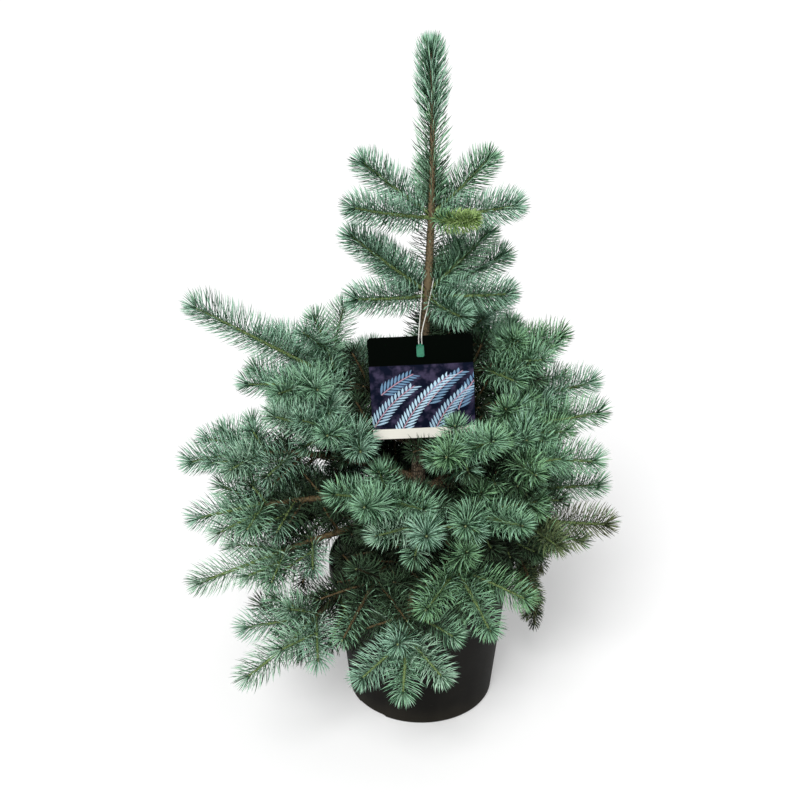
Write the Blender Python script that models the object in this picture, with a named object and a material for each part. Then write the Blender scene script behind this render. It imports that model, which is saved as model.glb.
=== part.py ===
"""Potted blue spruce: a young conifer with its hang tag, in a round nursery pot.

Metres, +Z up. The origin is the middle of the pot's flat underside, and -Y is the front.
Each sub-part is one closed solid. Boughs and needles grow by one seeded rule from the
table of boughs: a stem, its end shoot, a fork of side shoots behind that, and more side
shoots along the stem. Every needle is a spike raised on a face of a slim twisted core.
"""

import math
import random
from collections import namedtuple

import bmesh
import bpy
from mathutils import Matrix, Vector
from mathutils.bvhtree import BVHTree

CLEARANCE = 0.0003  # air between two solids that meet

# Pot and soil
POT_HEIGHT = 0.175
POT_FOOT_RADIUS = 0.0838
POT_NECK_RADIUS = 0.100
POT_LIP_RADIUS = 0.106
POT_LIP_HEIGHT = 0.017
POT_WALL = 0.0016
POT_FLOOR = 0.003
POT_EDGE_ROUND = 0.005
POT_SEGMENTS = 24
DRAIN_AZIMUTHS = (46, 226)  # slots through the foot
DRAIN_WIDTH = 0.042
DRAIN_DEPTH = 0.010
DRAIN_HEIGHT = 0.0045
HOLE_COUNT = 4  # round holes through the floor
HOLE_RADIUS = 0.007
HOLE_OUT = 0.048
SOIL_LEVEL = 0.155
SOIL_COLLAR_RADIUS = 0.030  # flat round the foot of the trunk
SOIL_UNEVEN = 0.002

# Trunk
TRUNK_FOOT = SOIL_LEVEL + CLEARANCE
TRUNK_TIP = 0.744
TRUNK_FOOT_RADIUS = 0.0098
TRUNK_TIP_RADIUS = 0.0019
TRUNK_TAPER = 1.25
ROOT_FLARE = 0.006
ROOT_FLARE_HEIGHT = 0.012
TRUNK_LEAN = 0.0055  # the top stands this far to +X
TRUNK_BOW = 0.0046  # to -X in its lower half, to +X in its upper half
TRUNK_SIDES = 10
TRUNK_RINGS = 16
TRUNK_RING_SPREAD = 1.5  # rings stand closer together at the foot

# Needles
NEEDLE_LENGTH = 0.022
NEEDLE_BEYOND = 0.012  # how far the last needles reach past a twig's end
TIP_NEEDLE = 0.015
NEEDLE_LEAN_ROOT = 58.0  # degrees from the twig's axis
NEEDLE_LEAN_TIP = 34.0
NEEDLE_PITCH = 0.0275  # from ring to ring of a side shoot
MAIN_PITCH = 0.0260  # and of a bough's own axis
NEEDLE_TEST_REACH = 1.06  # a needle is tested a little longer and wider than it is
NEEDLE_TEST_WIDTH = 1.25
TWIG_SIDES = 3
TWIG_RADIUS = 0.0034
TWIG_TIP_RADIUS = 0.0020
TWIG_BARE = 0.010  # no needles this near the root
TWIG_SPACING = 0.008  # between the cores of two masses
TWIG_OFF_SOLIDS = 0.004  # between a core and a pot, limb or tag

# Stems and limbs
STEM_ROOT_RADIUS = 0.0042
STEM_END_RADIUS = 0.0036
STEM_SIDES = 4
LIMB_SIDES = 6
LIMB_STEP = 0.026
SLEEVE_WALL = 0.0009
SLEEVE_SIDES = 6

# Hang tag
TAG_WIDTH = 0.108
TAG_HEIGHT = 0.116
TAG_THICKNESS = 0.0009
TAG_CENTRE = Vector((-0.0015, -0.047, 0.4075))
TAG_TURN = 3.0  # degrees anticlockwise as seen from the front
TAG_CORNER = 0.004
SEAL_SIZE = Vector((0.0078, 0.0034, 0.0125))
SEAL_FROM_TOP = 0.0195
SEAL_PIN_RADIUS = 0.0012
SEAL_BUTTON_RADIUS = 0.0026
STRING_RADIUS = 0.0006
STRING_HEIGHT = 0.5085  # where it goes round the trunk
STRING_APART = 0.0015  # each leg from the middle, at the seal
STRING_OVER_TAG = 0.005  # how far above the card the legs turn back to the trunk
STRING_SAG = 0.0015
STRING_ARC = 8

# The leader and the two young whorls, straight on the trunk
FIRST_WHORL = 0.579
SECOND_WHORL = 0.4955
THIRD_WHORL = 0.395

Shoot = namedtuple("Shoot", "azimuth rise lift length drop")
# azimuth (0 is +X, 270 the front), rise above level and its change, length with its
# needles, and how far below the whorl it stands
FIRST_SHOOTS = [
    Shoot(167, 32, 6, 0.098, 0.000),
    Shoot(206, 10, 8, 0.100, 0.003),
    Shoot(14, 39, 6, 0.092, 0.000),
    Shoot(343, 10, 6, 0.100, 0.003),
    Shoot(300, 8, 12, 0.092, 0.004),
    Shoot(92, 20, 8, 0.092, 0.002),
]
SECOND_SHOOTS = [
    Shoot(186, 37, 4, 0.112, 0.000),
    Shoot(207, 3, 8, 0.094, 0.004),
    Shoot(16, 40, 4, 0.098, 0.000),
    Shoot(338, 6, 6, 0.100, 0.004),
    Shoot(27, 13, 8, 0.106, 0.002),
    Shoot(66, 14, 8, 0.098, 0.000),
    Shoot(132, 16, 8, 0.100, 0.002),
    Shoot(305, -8, 10, 0.070, 0.006),
]

Bough = namedtuple("Bough", "name height azimuth rises wood tip side limb")
# rises are degrees above level at the trunk, at the fork and at the tip; wood is the
# length to the fork, tip the end shoot's with its needles, side the measure of the side
# shoots, limb the wood's bare share
BOUGHS = [
    Bough("left_upper", 0.386, 182, (-14, 30, 30), 0.088, 0.182, 0.142, 0.66),
    Bough("right_upper", 0.392, 8, (5, 20, 26), 0.078, 0.090, 0.095, 0.60),
    Bough("back_right_upper", 0.404, 54, (4, 12, 16), 0.080, 0.088, 0.090, 0.0),
    Bough("back_left_upper", 0.362, 136, (2, 10, 16), 0.080, 0.090, 0.090, 0.0),
    Bough("front_left_upper", 0.336, 212, (12, 20, 28), 0.096, 0.098, 0.100, 0.50),
    Bough("left_middle", 0.278, 188, (26, 2, -12), 0.172, 0.090, 0.084, 0.52),
    Bough("right_middle", 0.328, 350, (8, 14, 16), 0.088, 0.117, 0.105, 0.58),
    Bough("right_front", 0.308, 333, (8, 12, 10), 0.096, 0.116, 0.105, 0.54),
    Bough("front_right_upper", 0.322, 297, (16, 26, 34), 0.092, 0.088, 0.085, 0.58),
    Bough("back_right_middle", 0.350, 10, (6, 8, 10), 0.092, 0.110, 0.100, 0.52),
    Bough("back_middle", 0.330, 84, (8, 14, 20), 0.100, 0.110, 0.120, 0.46),
    Bough("back_left_middle", 0.318, 153, (6, 14, 18), 0.105, 0.117, 0.115, 0.50),
    Bough("left_lower", 0.257, 199, (10, 1, -6), 0.172, 0.084, 0.090, 0.50),
    Bough("front_left_middle", 0.268, 249, (14, 20, 26), 0.090, 0.082, 0.100, 0.0),
    Bough("front_middle", 0.247, 272, (14, 18, 24), 0.096, 0.080, 0.100, 0.0),
    Bough("front_right_middle", 0.258, 306, (10, 13, 18), 0.096, 0.090, 0.100, 0.0),
    Bough("right_lower", 0.268, 346, (3, 7, 12), 0.095, 0.112, 0.105, 0.54),
    Bough("back_right_lower", 0.256, 48, (4, 6, 12), 0.105, 0.115, 0.120, 0.46),
    Bough("back_left_lower", 0.250, 112, (4, 6, 10), 0.105, 0.115, 0.120, 0.46),
    Bough("low_left_front", 0.236, 210, (2, -5, -5), 0.160, 0.112, 0.096, 0.50),
    Bough("low_front_left", 0.203, 229, (0, -18, -6), 0.166, 0.114, 0.104, 0.46),
    Bough("low_front_corner", 0.222, 246, (0, -14, -20), 0.112, 0.095, 0.115, 0.0),
    Bough("low_front", 0.213, 265, (2, -28, -36), 0.166, 0.072, 0.092, 0.54),
    Bough("low_front_right", 0.231, 291, (0, -12, -18), 0.104, 0.100, 0.115, 0.0),
    Bough("low_right", 0.238, 342, (2, 4, 8), 0.104, 0.114, 0.110, 0.54),
    Bough("hanging_right", 0.230, 357, (14, -60, -92), 0.118, 0.118, 0.100, 0.45),
    Bough("low_left_back", 0.222, 168, (4, -4, -4), 0.122, 0.108, 0.120, 0.54),
    Bough("low_back_right", 0.214, 80, (4, -8, -12), 0.115, 0.110, 0.125, 0.46),
    Bough("low_back_left", 0.208, 130, (4, -10, -14), 0.115, 0.110, 0.125, 0.46),
]

# The rule for a spray: where a side shoot stands and how long it grows
Branch = namedtuple("Branch", "place around spread share")
# place along the stem, degrees round it (0 right, 90 up, 180 left), degrees off it,
# and its length as a share of the bough's side measure
SPRAY = [
    Branch(0.98, 8, 46, 0.80),
    Branch(0.96, 172, 50, 0.76),
    Branch(0.92, 82, 54, 0.58),
    Branch(0.88, -78, 40, 0.58),
    Branch(0.56, 188, 58, 0.70),
    Branch(0.46, -8, 60, 0.66),
]
BRANCH_SHORTEST = 0.040
BRANCH_TURN_JITTER = 9.0
BRANCH_LENGTH_JITTER = 0.10
BRANCH_LIFT = -6.0
BRANCH_TEST_START = 0.012  # its first stretch lies in the fork and isn't tested
INNER_BARE = 0.25  # share of the wood with no needles where a mass meets the trunk
WHORL_BARE = 0.010
SPRAY_SEED = 41

COLOURS = {
    "pot": ((0.020, 0.020, 0.018), 0.55),
    "soil": ((0.030, 0.019, 0.012), 0.95),
    "bark": ((0.120, 0.075, 0.042), 0.85),
    "needles": ((0.120, 0.235, 0.170), 0.60),
    "tag": ((0.110, 0.150, 0.220), 0.35),
    "seal": ((0.020, 0.200, 0.120), 0.30),
    "string": ((0.650, 0.640, 0.600), 0.70),
}
UP = Vector((0, 0, 1))


# ---------------------------------------------------------------- helpers


def material(name):
    """The named finish as a Principled material, made once."""
    found = bpy.data.materials.get(name)
    if found:
        return found
    colour, roughness = COLOURS[name]
    made = bpy.data.materials.new(name)
    made.use_nodes = True
    shader = made.node_tree.nodes["Principled BSDF"]
    shader.inputs["Base Color"].default_value = (*colour, 1)
    shader.inputs["Roughness"].default_value = roughness
    shader.inputs["Metallic"].default_value = 0
    return made


def add_object(name, data, finish, collection=None):
    """Links data as a named object with one material."""
    data.materials.append(material(finish))
    made = bpy.data.objects.new(name, data)
    (collection or bpy.context.scene.collection).objects.link(made)
    return made


def object_from(bm, name, finish, collection=None):
    """Turns a bmesh into a named object and frees it."""
    mesh = bpy.data.meshes.new(name)
    bm.to_mesh(mesh)
    bm.free()
    return add_object(name, mesh, finish, collection)


def tree_of(obj):
    """The object's evaluated mesh as a tree for distance and overlap tests."""
    graph = bpy.context.evaluated_depsgraph_get()
    return BVHTree.FromObject(obj, graph)


def applied(obj):
    """Replaces the object's mesh by what its modifiers give, and drops them."""
    bpy.context.view_layer.update()
    graph = bpy.context.evaluated_depsgraph_get()
    mesh = bpy.data.meshes.new_from_object(obj.evaluated_get(graph))
    obj.modifiers.clear()
    obj.data = mesh
    return obj


def fuse(obj, collection):
    """Joins every object of the collection to obj by one union, then removes them."""
    union = obj.modifiers.new("fused twigs", "BOOLEAN")
    union.operation = "UNION"
    union.operand_type = "COLLECTION"
    union.collection = collection
    applied(obj)
    empty_out(collection)
    return keep_outside(obj)


def keep_outside(obj):
    """Keeps the shell with the most faces, so no pocket stays shut in where twigs meet."""
    bm = bmesh.new()
    bm.from_mesh(obj.data)
    left, shells = set(bm.verts), []
    while left:
        shell, edge_of_search = set(), [left.pop()]
        while edge_of_search:
            vertex = edge_of_search.pop()
            shell.add(vertex)
            beside = {edge.other_vert(vertex) for edge in vertex.link_edges} & left
            left -= beside
            edge_of_search += beside
        shells.append(shell)
    shells.sort(key=len)
    bmesh.ops.delete(bm, geom=[v for shell in shells[:-1] for v in shell], context="VERTS")
    bm.to_mesh(obj.data)
    bm.free()
    return obj


def cut(obj, cutter):
    """Takes the cutter's shape out of obj and removes the cutter."""
    difference = obj.modifiers.new("cut", "BOOLEAN")
    difference.operation = "DIFFERENCE"
    difference.object = cutter
    applied(obj)
    bpy.data.objects.remove(cutter)
    return obj


def empty_out(collection):
    """Removes a helper collection and what it holds."""
    for obj in list(collection.objects):
        bpy.data.objects.remove(obj)
    bpy.data.collections.remove(collection)


def helper_collection(name):
    """A collection that is linked so that its objects are evaluated."""
    made = bpy.data.collections.new(name)
    bpy.context.scene.collection.children.link(made)
    return made


def turned(name, profile, finish):
    """Spins a closed outline of (radius, height) points round Z into a solid."""
    bm = bmesh.new()
    outline = [bm.verts.new((radius, 0, height)) for radius, height in profile]
    edges = [
        bm.edges.new((a, b)) for a, b in zip(outline, outline[1:] + outline[:1])
        if a.co.x > 0 or b.co.x > 0
    ]
    bmesh.ops.spin(
        bm, geom=outline + edges, axis=(0, 0, 1), cent=(0, 0, 0), dvec=(0, 0, 0),
        angle=math.tau, steps=POT_SEGMENTS, use_merge=True,
    )
    bmesh.ops.remove_doubles(bm, verts=bm.verts, dist=1e-5)
    bmesh.ops.recalc_face_normals(bm, faces=bm.faces)
    return object_from(bm, name, finish)


def direction(azimuth, rise):
    """Unit vector at degrees of azimuth and of rise above level."""
    a, r = math.radians(azimuth), math.radians(rise)
    return Vector((math.cos(a) * math.cos(r), math.sin(a) * math.cos(r), math.sin(r)))


def curved_path(start, heading, lift, length, step):
    """Points from start along a heading that turns upwards by lift degrees in all."""
    count = max(2, round(length / step))
    side = heading.cross(UP)
    points = [start.copy()]
    for i in range(count):
        turn = math.radians(lift) * (i + 0.5) / count
        bent = heading
        if side.length > 0.05:
            bent = Matrix.Rotation(turn, 3, side.normalized()) @ heading
        points.append(points[-1] + bent * (length / count))
    return points


def point_along(points, share):
    """Place and heading at a share of the path's points."""
    place = share * (len(points) - 1)
    i = min(int(place), len(points) - 2)
    heading = (points[i + 1] - points[i]).normalized()
    return points[i].lerp(points[i + 1], place - i), heading


def tube(points, radii, sides, twist=0.0, first=None, last=None):
    """A closed bmesh tube along the points, each ring turned by twist from the last.

    first and last are the headings that its flat ends face, where the path's won't do.
    """
    bm = bmesh.new()
    rings, frame = [], None
    headings = [
        (points[min(i + 1, len(points) - 1)] - points[max(i - 1, 0)]).normalized()
        for i in range(len(points))
    ]
    headings[0] = first or headings[0]
    headings[-1] = last or headings[-1]
    for i, (point, radius) in enumerate(zip(points, radii)):
        frame = frame_along(headings[i], frame)
        ring = []
        for k in range(sides):
            turn = math.tau * k / sides + twist * i
            out = frame.col[0] * math.cos(turn) + frame.col[1] * math.sin(turn)
            ring.append(bm.verts.new(point + out * radius))
        rings.append(ring)
    for low, high in zip(rings, rings[1:]):
        for k in range(sides):
            following = (k + 1) % sides
            bm.faces.new((low[k], low[following], high[following], high[k]))
    bm.faces.new(rings[0][::-1])
    bm.faces.new(rings[-1])
    bm.normal_update()
    return bm


def frame_along(heading, last):
    """Axes whose Z is the heading, turned as little as can be from the last frame."""
    if last is None:
        x = heading.cross(UP)
        x = x.normalized() if x.length > 0.05 else Vector((1, 0, 0))
    else:
        x = (last.col[0] - heading * last.col[0].dot(heading)).normalized()
    return Matrix((x, heading.cross(x), heading)).transposed()


# ---------------------------------------------------------------- pot, soil, trunk


def make_pot():
    """The round pot: tapered wall, thick lip, flat floor with holes, slots at its foot."""
    lip_under = POT_HEIGHT - POT_LIP_HEIGHT
    arc = [
        (POT_FOOT_RADIUS - POT_EDGE_ROUND * (1 - math.sin(t)), POT_EDGE_ROUND * (1 - math.cos(t)))
        for t in (0, math.pi / 4, math.pi / 2)
    ]
    profile = [
        (0, 0), *arc,
        (POT_NECK_RADIUS, lip_under),
        (POT_LIP_RADIUS - 0.001, lip_under + 0.001),
        (POT_LIP_RADIUS, POT_HEIGHT - 0.001),
        (POT_LIP_RADIUS - 0.001, POT_HEIGHT),
        (POT_NECK_RADIUS - POT_WALL, POT_HEIGHT - 0.001),
        (POT_NECK_RADIUS - POT_WALL, lip_under),
        (POT_FOOT_RADIUS - POT_WALL, POT_FLOOR + 0.002),
        (POT_FOOT_RADIUS - POT_WALL - 0.002, POT_FLOOR),
        (0, POT_FLOOR),
    ]
    pot = turned("pot", profile, "pot")
    bm = bmesh.new()
    for azimuth in DRAIN_AZIMUTHS:
        turn = Matrix.Rotation(math.radians(azimuth), 4, "Z")
        place = Matrix.Translation((POT_FOOT_RADIUS, 0, 0))
        size = Matrix.Diagonal((DRAIN_DEPTH * 2, DRAIN_WIDTH, DRAIN_HEIGHT * 2, 1))
        bmesh.ops.create_cube(bm, size=1, matrix=turn @ place @ size)
    for i in range(HOLE_COUNT):
        turn = Matrix.Rotation(math.tau * i / HOLE_COUNT, 4, "Z")
        bmesh.ops.create_cone(
            bm, cap_ends=True, segments=8, radius1=HOLE_RADIUS, radius2=HOLE_RADIUS,
            depth=4 * POT_FLOOR, matrix=turn @ Matrix.Translation((HOLE_OUT, 0, 0)),
        )
    cut(pot, object_from(bm, "drain cutter", "pot"))
    return pot


def pot_inside_radius(height):
    """Radius of the pot's inner wall at a height."""
    lip_under = POT_HEIGHT - POT_LIP_HEIGHT
    share = min(1, height / lip_under)
    return POT_FOOT_RADIUS + (POT_NECK_RADIUS - POT_FOOT_RADIUS) * share - POT_WALL


def make_soil():
    """The potting soil: fills the pot to its level, flat round the trunk, uneven outside."""
    foot = POT_FLOOR + 0.006
    profile = [
        (0, foot),
        (pot_inside_radius(foot) - DRAIN_DEPTH, foot),
        (pot_inside_radius(foot * 3) - 3 * CLEARANCE, foot * 3),
        (pot_inside_radius(SOIL_LEVEL) - 3 * CLEARANCE, SOIL_LEVEL - 0.003),
        (0.068, SOIL_LEVEL),
        (SOIL_COLLAR_RADIUS, SOIL_LEVEL),
        (0, SOIL_LEVEL),
    ]
    soil = turned("soil", profile, "soil")
    draw = random.Random(7)
    for vertex in soil.data.vertices:
        radius = vertex.co.xy.length
        if vertex.co.z > SOIL_LEVEL - 0.001 and radius > SOIL_COLLAR_RADIUS + 0.001:
            vertex.co.z -= draw.uniform(0, SOIL_UNEVEN)
    return soil


def trunk_point(height):
    """Middle of the trunk at a height, with its lean and its double bow."""
    share = (height - TRUNK_FOOT) / (TRUNK_TIP - TRUNK_FOOT)
    bow = TRUNK_BOW * math.sin(math.tau * share)
    return Vector((TRUNK_LEAN * share * share - bow, 0, height))


def trunk_radius(height):
    """Trunk radius at a height, with the root flare at its foot."""
    share = min(1, (height - TRUNK_FOOT) / (TRUNK_TIP - TRUNK_FOOT))
    taper = TRUNK_TIP_RADIUS + (TRUNK_FOOT_RADIUS - TRUNK_TIP_RADIUS) * (1 - share) ** TRUNK_TAPER
    return taper + ROOT_FLARE * math.exp(-(height - TRUNK_FOOT) / ROOT_FLARE_HEIGHT)


def trunk_tube(spare, above):
    """The trunk as a tube: wider by spare, and with its tip this far above the trunk's."""
    shares = [(i / (TRUNK_RINGS - 1)) ** TRUNK_RING_SPREAD for i in range(TRUNK_RINGS)]
    heights = [TRUNK_FOOT + (TRUNK_TIP - TRUNK_FOOT) * share for share in shares]
    middles = [trunk_point(height) for height in heights]
    middles[-1] += above * UP
    return tube(middles, [trunk_radius(height) + spare for height in heights], TRUNK_SIDES)


def make_trunk():
    """The trunk, cut flat on the soil and tapered to the leader's bud."""
    bm = trunk_tube(0, 0)
    for vertex in bm.verts:
        if vertex.co.z < TRUNK_FOOT + 0.0005:
            vertex.co.z = TRUNK_FOOT
    return object_from(bm, "trunk", "bark")


# ---------------------------------------------------------------- hang tag


def tag_matrix():
    """Place and turn of the tag: its face looks to -Y."""
    return Matrix.Translation(TAG_CENTRE) @ Matrix.Rotation(math.radians(-TAG_TURN), 4, "Y")


def seal_centre():
    """Middle of the seal, on the front of the tag near its top edge."""
    front = -TAG_THICKNESS / 2 - CLEARANCE - SEAL_SIZE.y / 2
    return tag_matrix() @ Vector((0, front, TAG_HEIGHT / 2 - SEAL_FROM_TOP + 0.004))


def make_tag():
    """The card, with round corners and the hole that its seal's pin goes through."""
    bm = bmesh.new()
    size = Matrix.Diagonal((TAG_WIDTH, TAG_THICKNESS, TAG_HEIGHT, 1))
    bmesh.ops.create_cube(bm, size=1, matrix=size)
    corners = [e for e in bm.edges if abs(e.verts[0].co.y - e.verts[1].co.y) > TAG_THICKNESS / 2]
    bmesh.ops.bevel(
        bm, geom=corners, offset=TAG_CORNER, segments=3, profile=0.5, affect="EDGES", material=-1
    )
    bmesh.ops.transform(bm, matrix=tag_matrix(), verts=bm.verts)
    tag = object_from(bm, "tag", "tag")
    hole = bmesh.new()
    radius = SEAL_PIN_RADIUS + CLEARANCE
    bmesh.ops.create_cone(
        hole, cap_ends=True, segments=12, radius1=radius, radius2=radius, depth=0.01,
        matrix=Matrix.Translation(seal_centre()) @ Matrix.Rotation(math.pi / 2, 4, "X"),
    )
    return cut(tag, object_from(hole, "hole cutter", "tag"))


def make_seal():
    """The seal: a rounded block on the card's face, with a pin through it and a button behind."""
    bm = bmesh.new()
    middle = seal_centre()
    turn = Matrix.Rotation(math.radians(-TAG_TURN), 4, "Y")
    place = Matrix.Translation(middle) @ turn
    bmesh.ops.create_cube(bm, size=1, matrix=place @ Matrix.Diagonal((*SEAL_SIZE, 1)))
    bmesh.ops.bevel(
        bm, geom=bm.edges[:], offset=0.001, segments=1, profile=0.5, affect="EDGES", material=-1
    )
    seal = object_from(bm, "tag_seal", "seal")
    parts = helper_collection("seal parts")
    back = SEAL_SIZE.y / 2 + TAG_THICKNESS + 2 * CLEARANCE
    for radius, start, end in (
        (SEAL_PIN_RADIUS, 0, back + 0.0006),
        (SEAL_BUTTON_RADIUS, back, back + 0.0012),
    ):
        pin = bmesh.new()
        bmesh.ops.create_cone(
            pin, cap_ends=True, segments=12, radius1=radius, radius2=radius, depth=end - start,
            matrix=place @ Matrix.Translation((0, (start + end) / 2, 0))
            @ Matrix.Rotation(math.pi / 2, 4, "X"),
        )
        object_from(pin, "pin", "seal", parts)
    return fuse(seal, parts)


def string_path():
    """The loop's points: up from the seal, over the tag, round the trunk and back down."""
    hold = seal_centre() + UP * (SEAL_SIZE.z / 2 + STRING_RADIUS + CLEARANCE)
    over = Vector((hold.x, hold.y, TAG_CENTRE.z + TAG_HEIGHT / 2 + STRING_OVER_TAG))
    trunk = trunk_point(STRING_HEIGHT)
    reach = trunk_radius(STRING_HEIGHT) + STRING_RADIUS + 2 * CLEARANCE
    turns = [math.pi * i / STRING_ARC for i in range(STRING_ARC + 1)]
    arc = [trunk + Vector((math.cos(t) * reach, math.sin(t) * reach, 0)) for t in turns]
    apart = Vector((STRING_APART, 0, 0))
    legs = []
    for side, end in ((apart, arc[0]), (-apart, arc[-1])):
        middle = (over + side).lerp(end, 0.5) - UP * STRING_SAG
        legs.append([hold + side, over + side, middle])
    return [*legs[0], *arc, *legs[1][::-1]]


def make_string():
    """The string as a closed loop of round section."""
    curve = bpy.data.curves.new("tag_string", "CURVE")
    curve.dimensions = "3D"
    curve.bevel_depth = STRING_RADIUS
    curve.bevel_resolution = 0
    points = string_path()
    spline = curve.splines.new("POLY")
    spline.points.add(len(points) - 1)
    spline.use_cyclic_u = True
    for point, place in zip(spline.points, points):
        point.co = (*place, 1)
    return add_object("tag_string", curve, "string")


# ---------------------------------------------------------------- growth


class Twig:
    """One twig: its path and radii, and the needles that it may carry."""

    def __init__(self, path, radii, sides=TWIG_SIDES, bare=TWIG_BARE, first=None):
        self.path, self.bare = path, bare
        self.spikes = []
        self.bm = tube(path, radii, sides, twist=math.pi / sides, first=first)
        sides_only = [f for f in self.bm.faces if len(f.verts) == 4]
        bmesh.ops.triangulate(self.bm, faces=sides_only, quad_method="SHORT_EDGE")
        self.tree = BVHTree.FromBMesh(self.bm)

    def place_of(self, point):
        """Distance along the path, share of it, and heading, at the nearest of its points."""
        lengths = [0.0]
        for a, b in zip(self.path, self.path[1:]):
            lengths.append(lengths[-1] + (b - a).length)
        best = min(
            ((point - a.lerp(b, t)).length, run + t * (b - a).length, (b - a).normalized())
            for (a, b), run in zip(zip(self.path, self.path[1:]), lengths)
            for t in (0.17, 0.33, 0.5, 0.67, 0.83)
        )
        return best[1], best[1] / lengths[-1], best[2]

    def plan_needles(self, obstacles, draw):
        """Raises a needle on each face past the bare root, unless it would touch something."""
        for face in list(self.bm.faces):
            middle = face.calc_center_median()
            along, share, heading = self.place_of(middle)
            length = NEEDLE_LENGTH * draw.uniform(0.88, 1.06)
            lean = NEEDLE_LEAN_ROOT + (NEEDLE_LEAN_TIP - NEEDLE_LEAN_ROOT) * share
            lean = math.radians(lean + draw.uniform(-4, 4))
            if along < self.bare and len(face.verts) == 3:
                continue
            if abs(face.normal.dot(heading)) > 0.9:
                if share < 0.5:
                    continue
                apex = middle + heading * TIP_NEEDLE
            else:
                outward = (face.normal - heading * face.normal.dot(heading)).normalized()
                apex = middle + length * (outward * math.sin(lean) + heading * math.cos(lean))
            if is_free(face, middle, apex, [o for o in obstacles if o is not self.tree]):
                self.spikes.append((face, apex))

    def needle_tree(self):
        """The planned needles as a tree, for the twigs that come after."""
        points, faces = [], []
        for face, apex in self.spikes:
            corners = [v.co.copy() for v in face.verts]
            first = len(points)
            points += [*corners, apex]
            tip = first + len(corners)
            ring = range(first, tip)
            faces += [(a, b, tip) for a, b in zip(ring, [*ring[1:], first])]
        return BVHTree.FromPolygons(points, faces) if faces else None

    def finish(self, name, collection):
        """Pokes each planned face out to its needle's tip and makes the twig's object."""
        for face, apex in self.spikes:
            raised = bmesh.ops.poke(self.bm, faces=[face])
            raised["verts"][0].co = apex
        return object_from(self.bm, name, "needles", collection)


def is_free(face, middle, apex, obstacles):
    """True if a needle, tested a little larger than it is, touches none of the trees."""
    base = [middle + (v.co - middle) * NEEDLE_TEST_WIDTH for v in face.verts]
    # The test starts a little way up, because the base belongs to the needle's own twig.
    foot = [corner.lerp(apex, 0.12) for corner in base]
    tip = middle.lerp(apex, NEEDLE_TEST_REACH)
    count = len(foot)
    sides = [(i, (i + 1) % count, count) for i in range(count)]
    needle = BVHTree.FromPolygons([*foot, tip], sides)
    return not any(near(tree, middle) and needle.overlap(tree) for tree in obstacles)


def near(tree, point):
    """True if any of the tree lies within a needle's reach of the point."""
    return tree.find_nearest(point, NEEDLE_LENGTH * 1.4)[0] is not None


def clear_of(path, trees, distance):
    """True if the path stays further than distance from every tree."""
    dense = [a.lerp(b, t) for a, b in zip(path, path[1:]) for t in (0.25, 0.5, 0.75, 1)]
    return not any(tree.find_nearest(p, distance)[0] is not None for p in dense for tree in trees)


def shoot_path(start, heading, lift, length, pitch=NEEDLE_PITCH):
    """The path of a shoot whose length counts its last needles."""
    return curved_path(start, heading, lift, length - NEEDLE_BEYOND, pitch)


def twig_radii(count):
    """Radii of a shoot's rings, from its root to its bud."""
    return [
        TWIG_RADIUS + (TWIG_TIP_RADIUS - TWIG_RADIUS) * i / (count - 1) for i in range(count)
    ]


def start_off_trunk(height, azimuth):
    """A stem's first point: its upright flat root clears the trunk's side."""
    reach = trunk_radius(height) + CLEARANCE
    return trunk_point(height) + direction(azimuth, 0) * reach


def bough_wood(bough):
    """The bough's wood as points from the trunk to the fork."""
    rise, fork_rise, _ = bough.rises
    start = start_off_trunk(bough.height, bough.azimuth)
    heading = direction(bough.azimuth, rise)
    return curved_path(start, heading, fork_rise - rise, bough.wood, LIMB_STEP)


def wood_radius(share):
    """Radius of a bough's wood at a share of its length."""
    return STEM_ROOT_RADIUS + (STEM_END_RADIUS - STEM_ROOT_RADIUS) * share


def make_limb(bough):
    """The bare limb of a bough: a tapering round tube from the trunk to its mass."""
    wood = bough_wood(bough)
    count = max(3, round(bough.wood * bough.limb / LIMB_STEP) + 1)
    shares = [bough.limb * i / (count - 1) for i in range(count)]
    path = [point_along(wood, share)[0] for share in shares]
    radii = [wood_radius(share) for share in shares]
    facing = point_along(wood, bough.limb)[1]
    bm = tube(path, radii, LIMB_SIDES, first=direction(bough.azimuth, 0), last=facing)
    return object_from(bm, "bough_" + bough.name, "bark")


def bough_axis(bough):
    """The axis of the bough's mass: the wood past the limb, then the end shoot.

    It comes as points, their radii and the heading of its flat root.
    """
    wood = bough_wood(bough)
    _, fork_rise, tip_rise = bough.rises
    length = bough.wood * (1 - bough.limb)
    count = max(1, round(length / MAIN_PITCH))
    shares = [bough.limb + (1 - bough.limb) * i / count for i in range(count)]
    path = [point_along(wood, share)[0] for share in shares]
    facing = direction(bough.azimuth, 0)
    if bough.limb:
        facing = point_along(wood, bough.limb)[1]
        path[0] += facing * CLEARANCE
    radii = [wood_radius(share) for share in shares]
    heading = direction(bough.azimuth, fork_rise)
    shoot = shoot_path(wood[-1], heading, tip_rise - fork_rise, bough.tip, MAIN_PITCH)
    steps = len(shoot) - 1
    radii += [STEM_END_RADIUS + (TWIG_TIP_RADIUS - STEM_END_RADIUS) * i / steps
              for i in range(steps + 1)]
    return path + shoot, radii, facing


def side_heading(heading, around, spread):
    """Heading of a side shoot: spread degrees off its stem, around degrees round it."""
    right = heading.cross(UP).normalized()
    above = right.cross(heading)
    a, s = math.radians(around), math.radians(spread)
    out = right * math.cos(a) + above * math.sin(a)
    return heading * math.cos(s) + out * math.sin(s)


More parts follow.
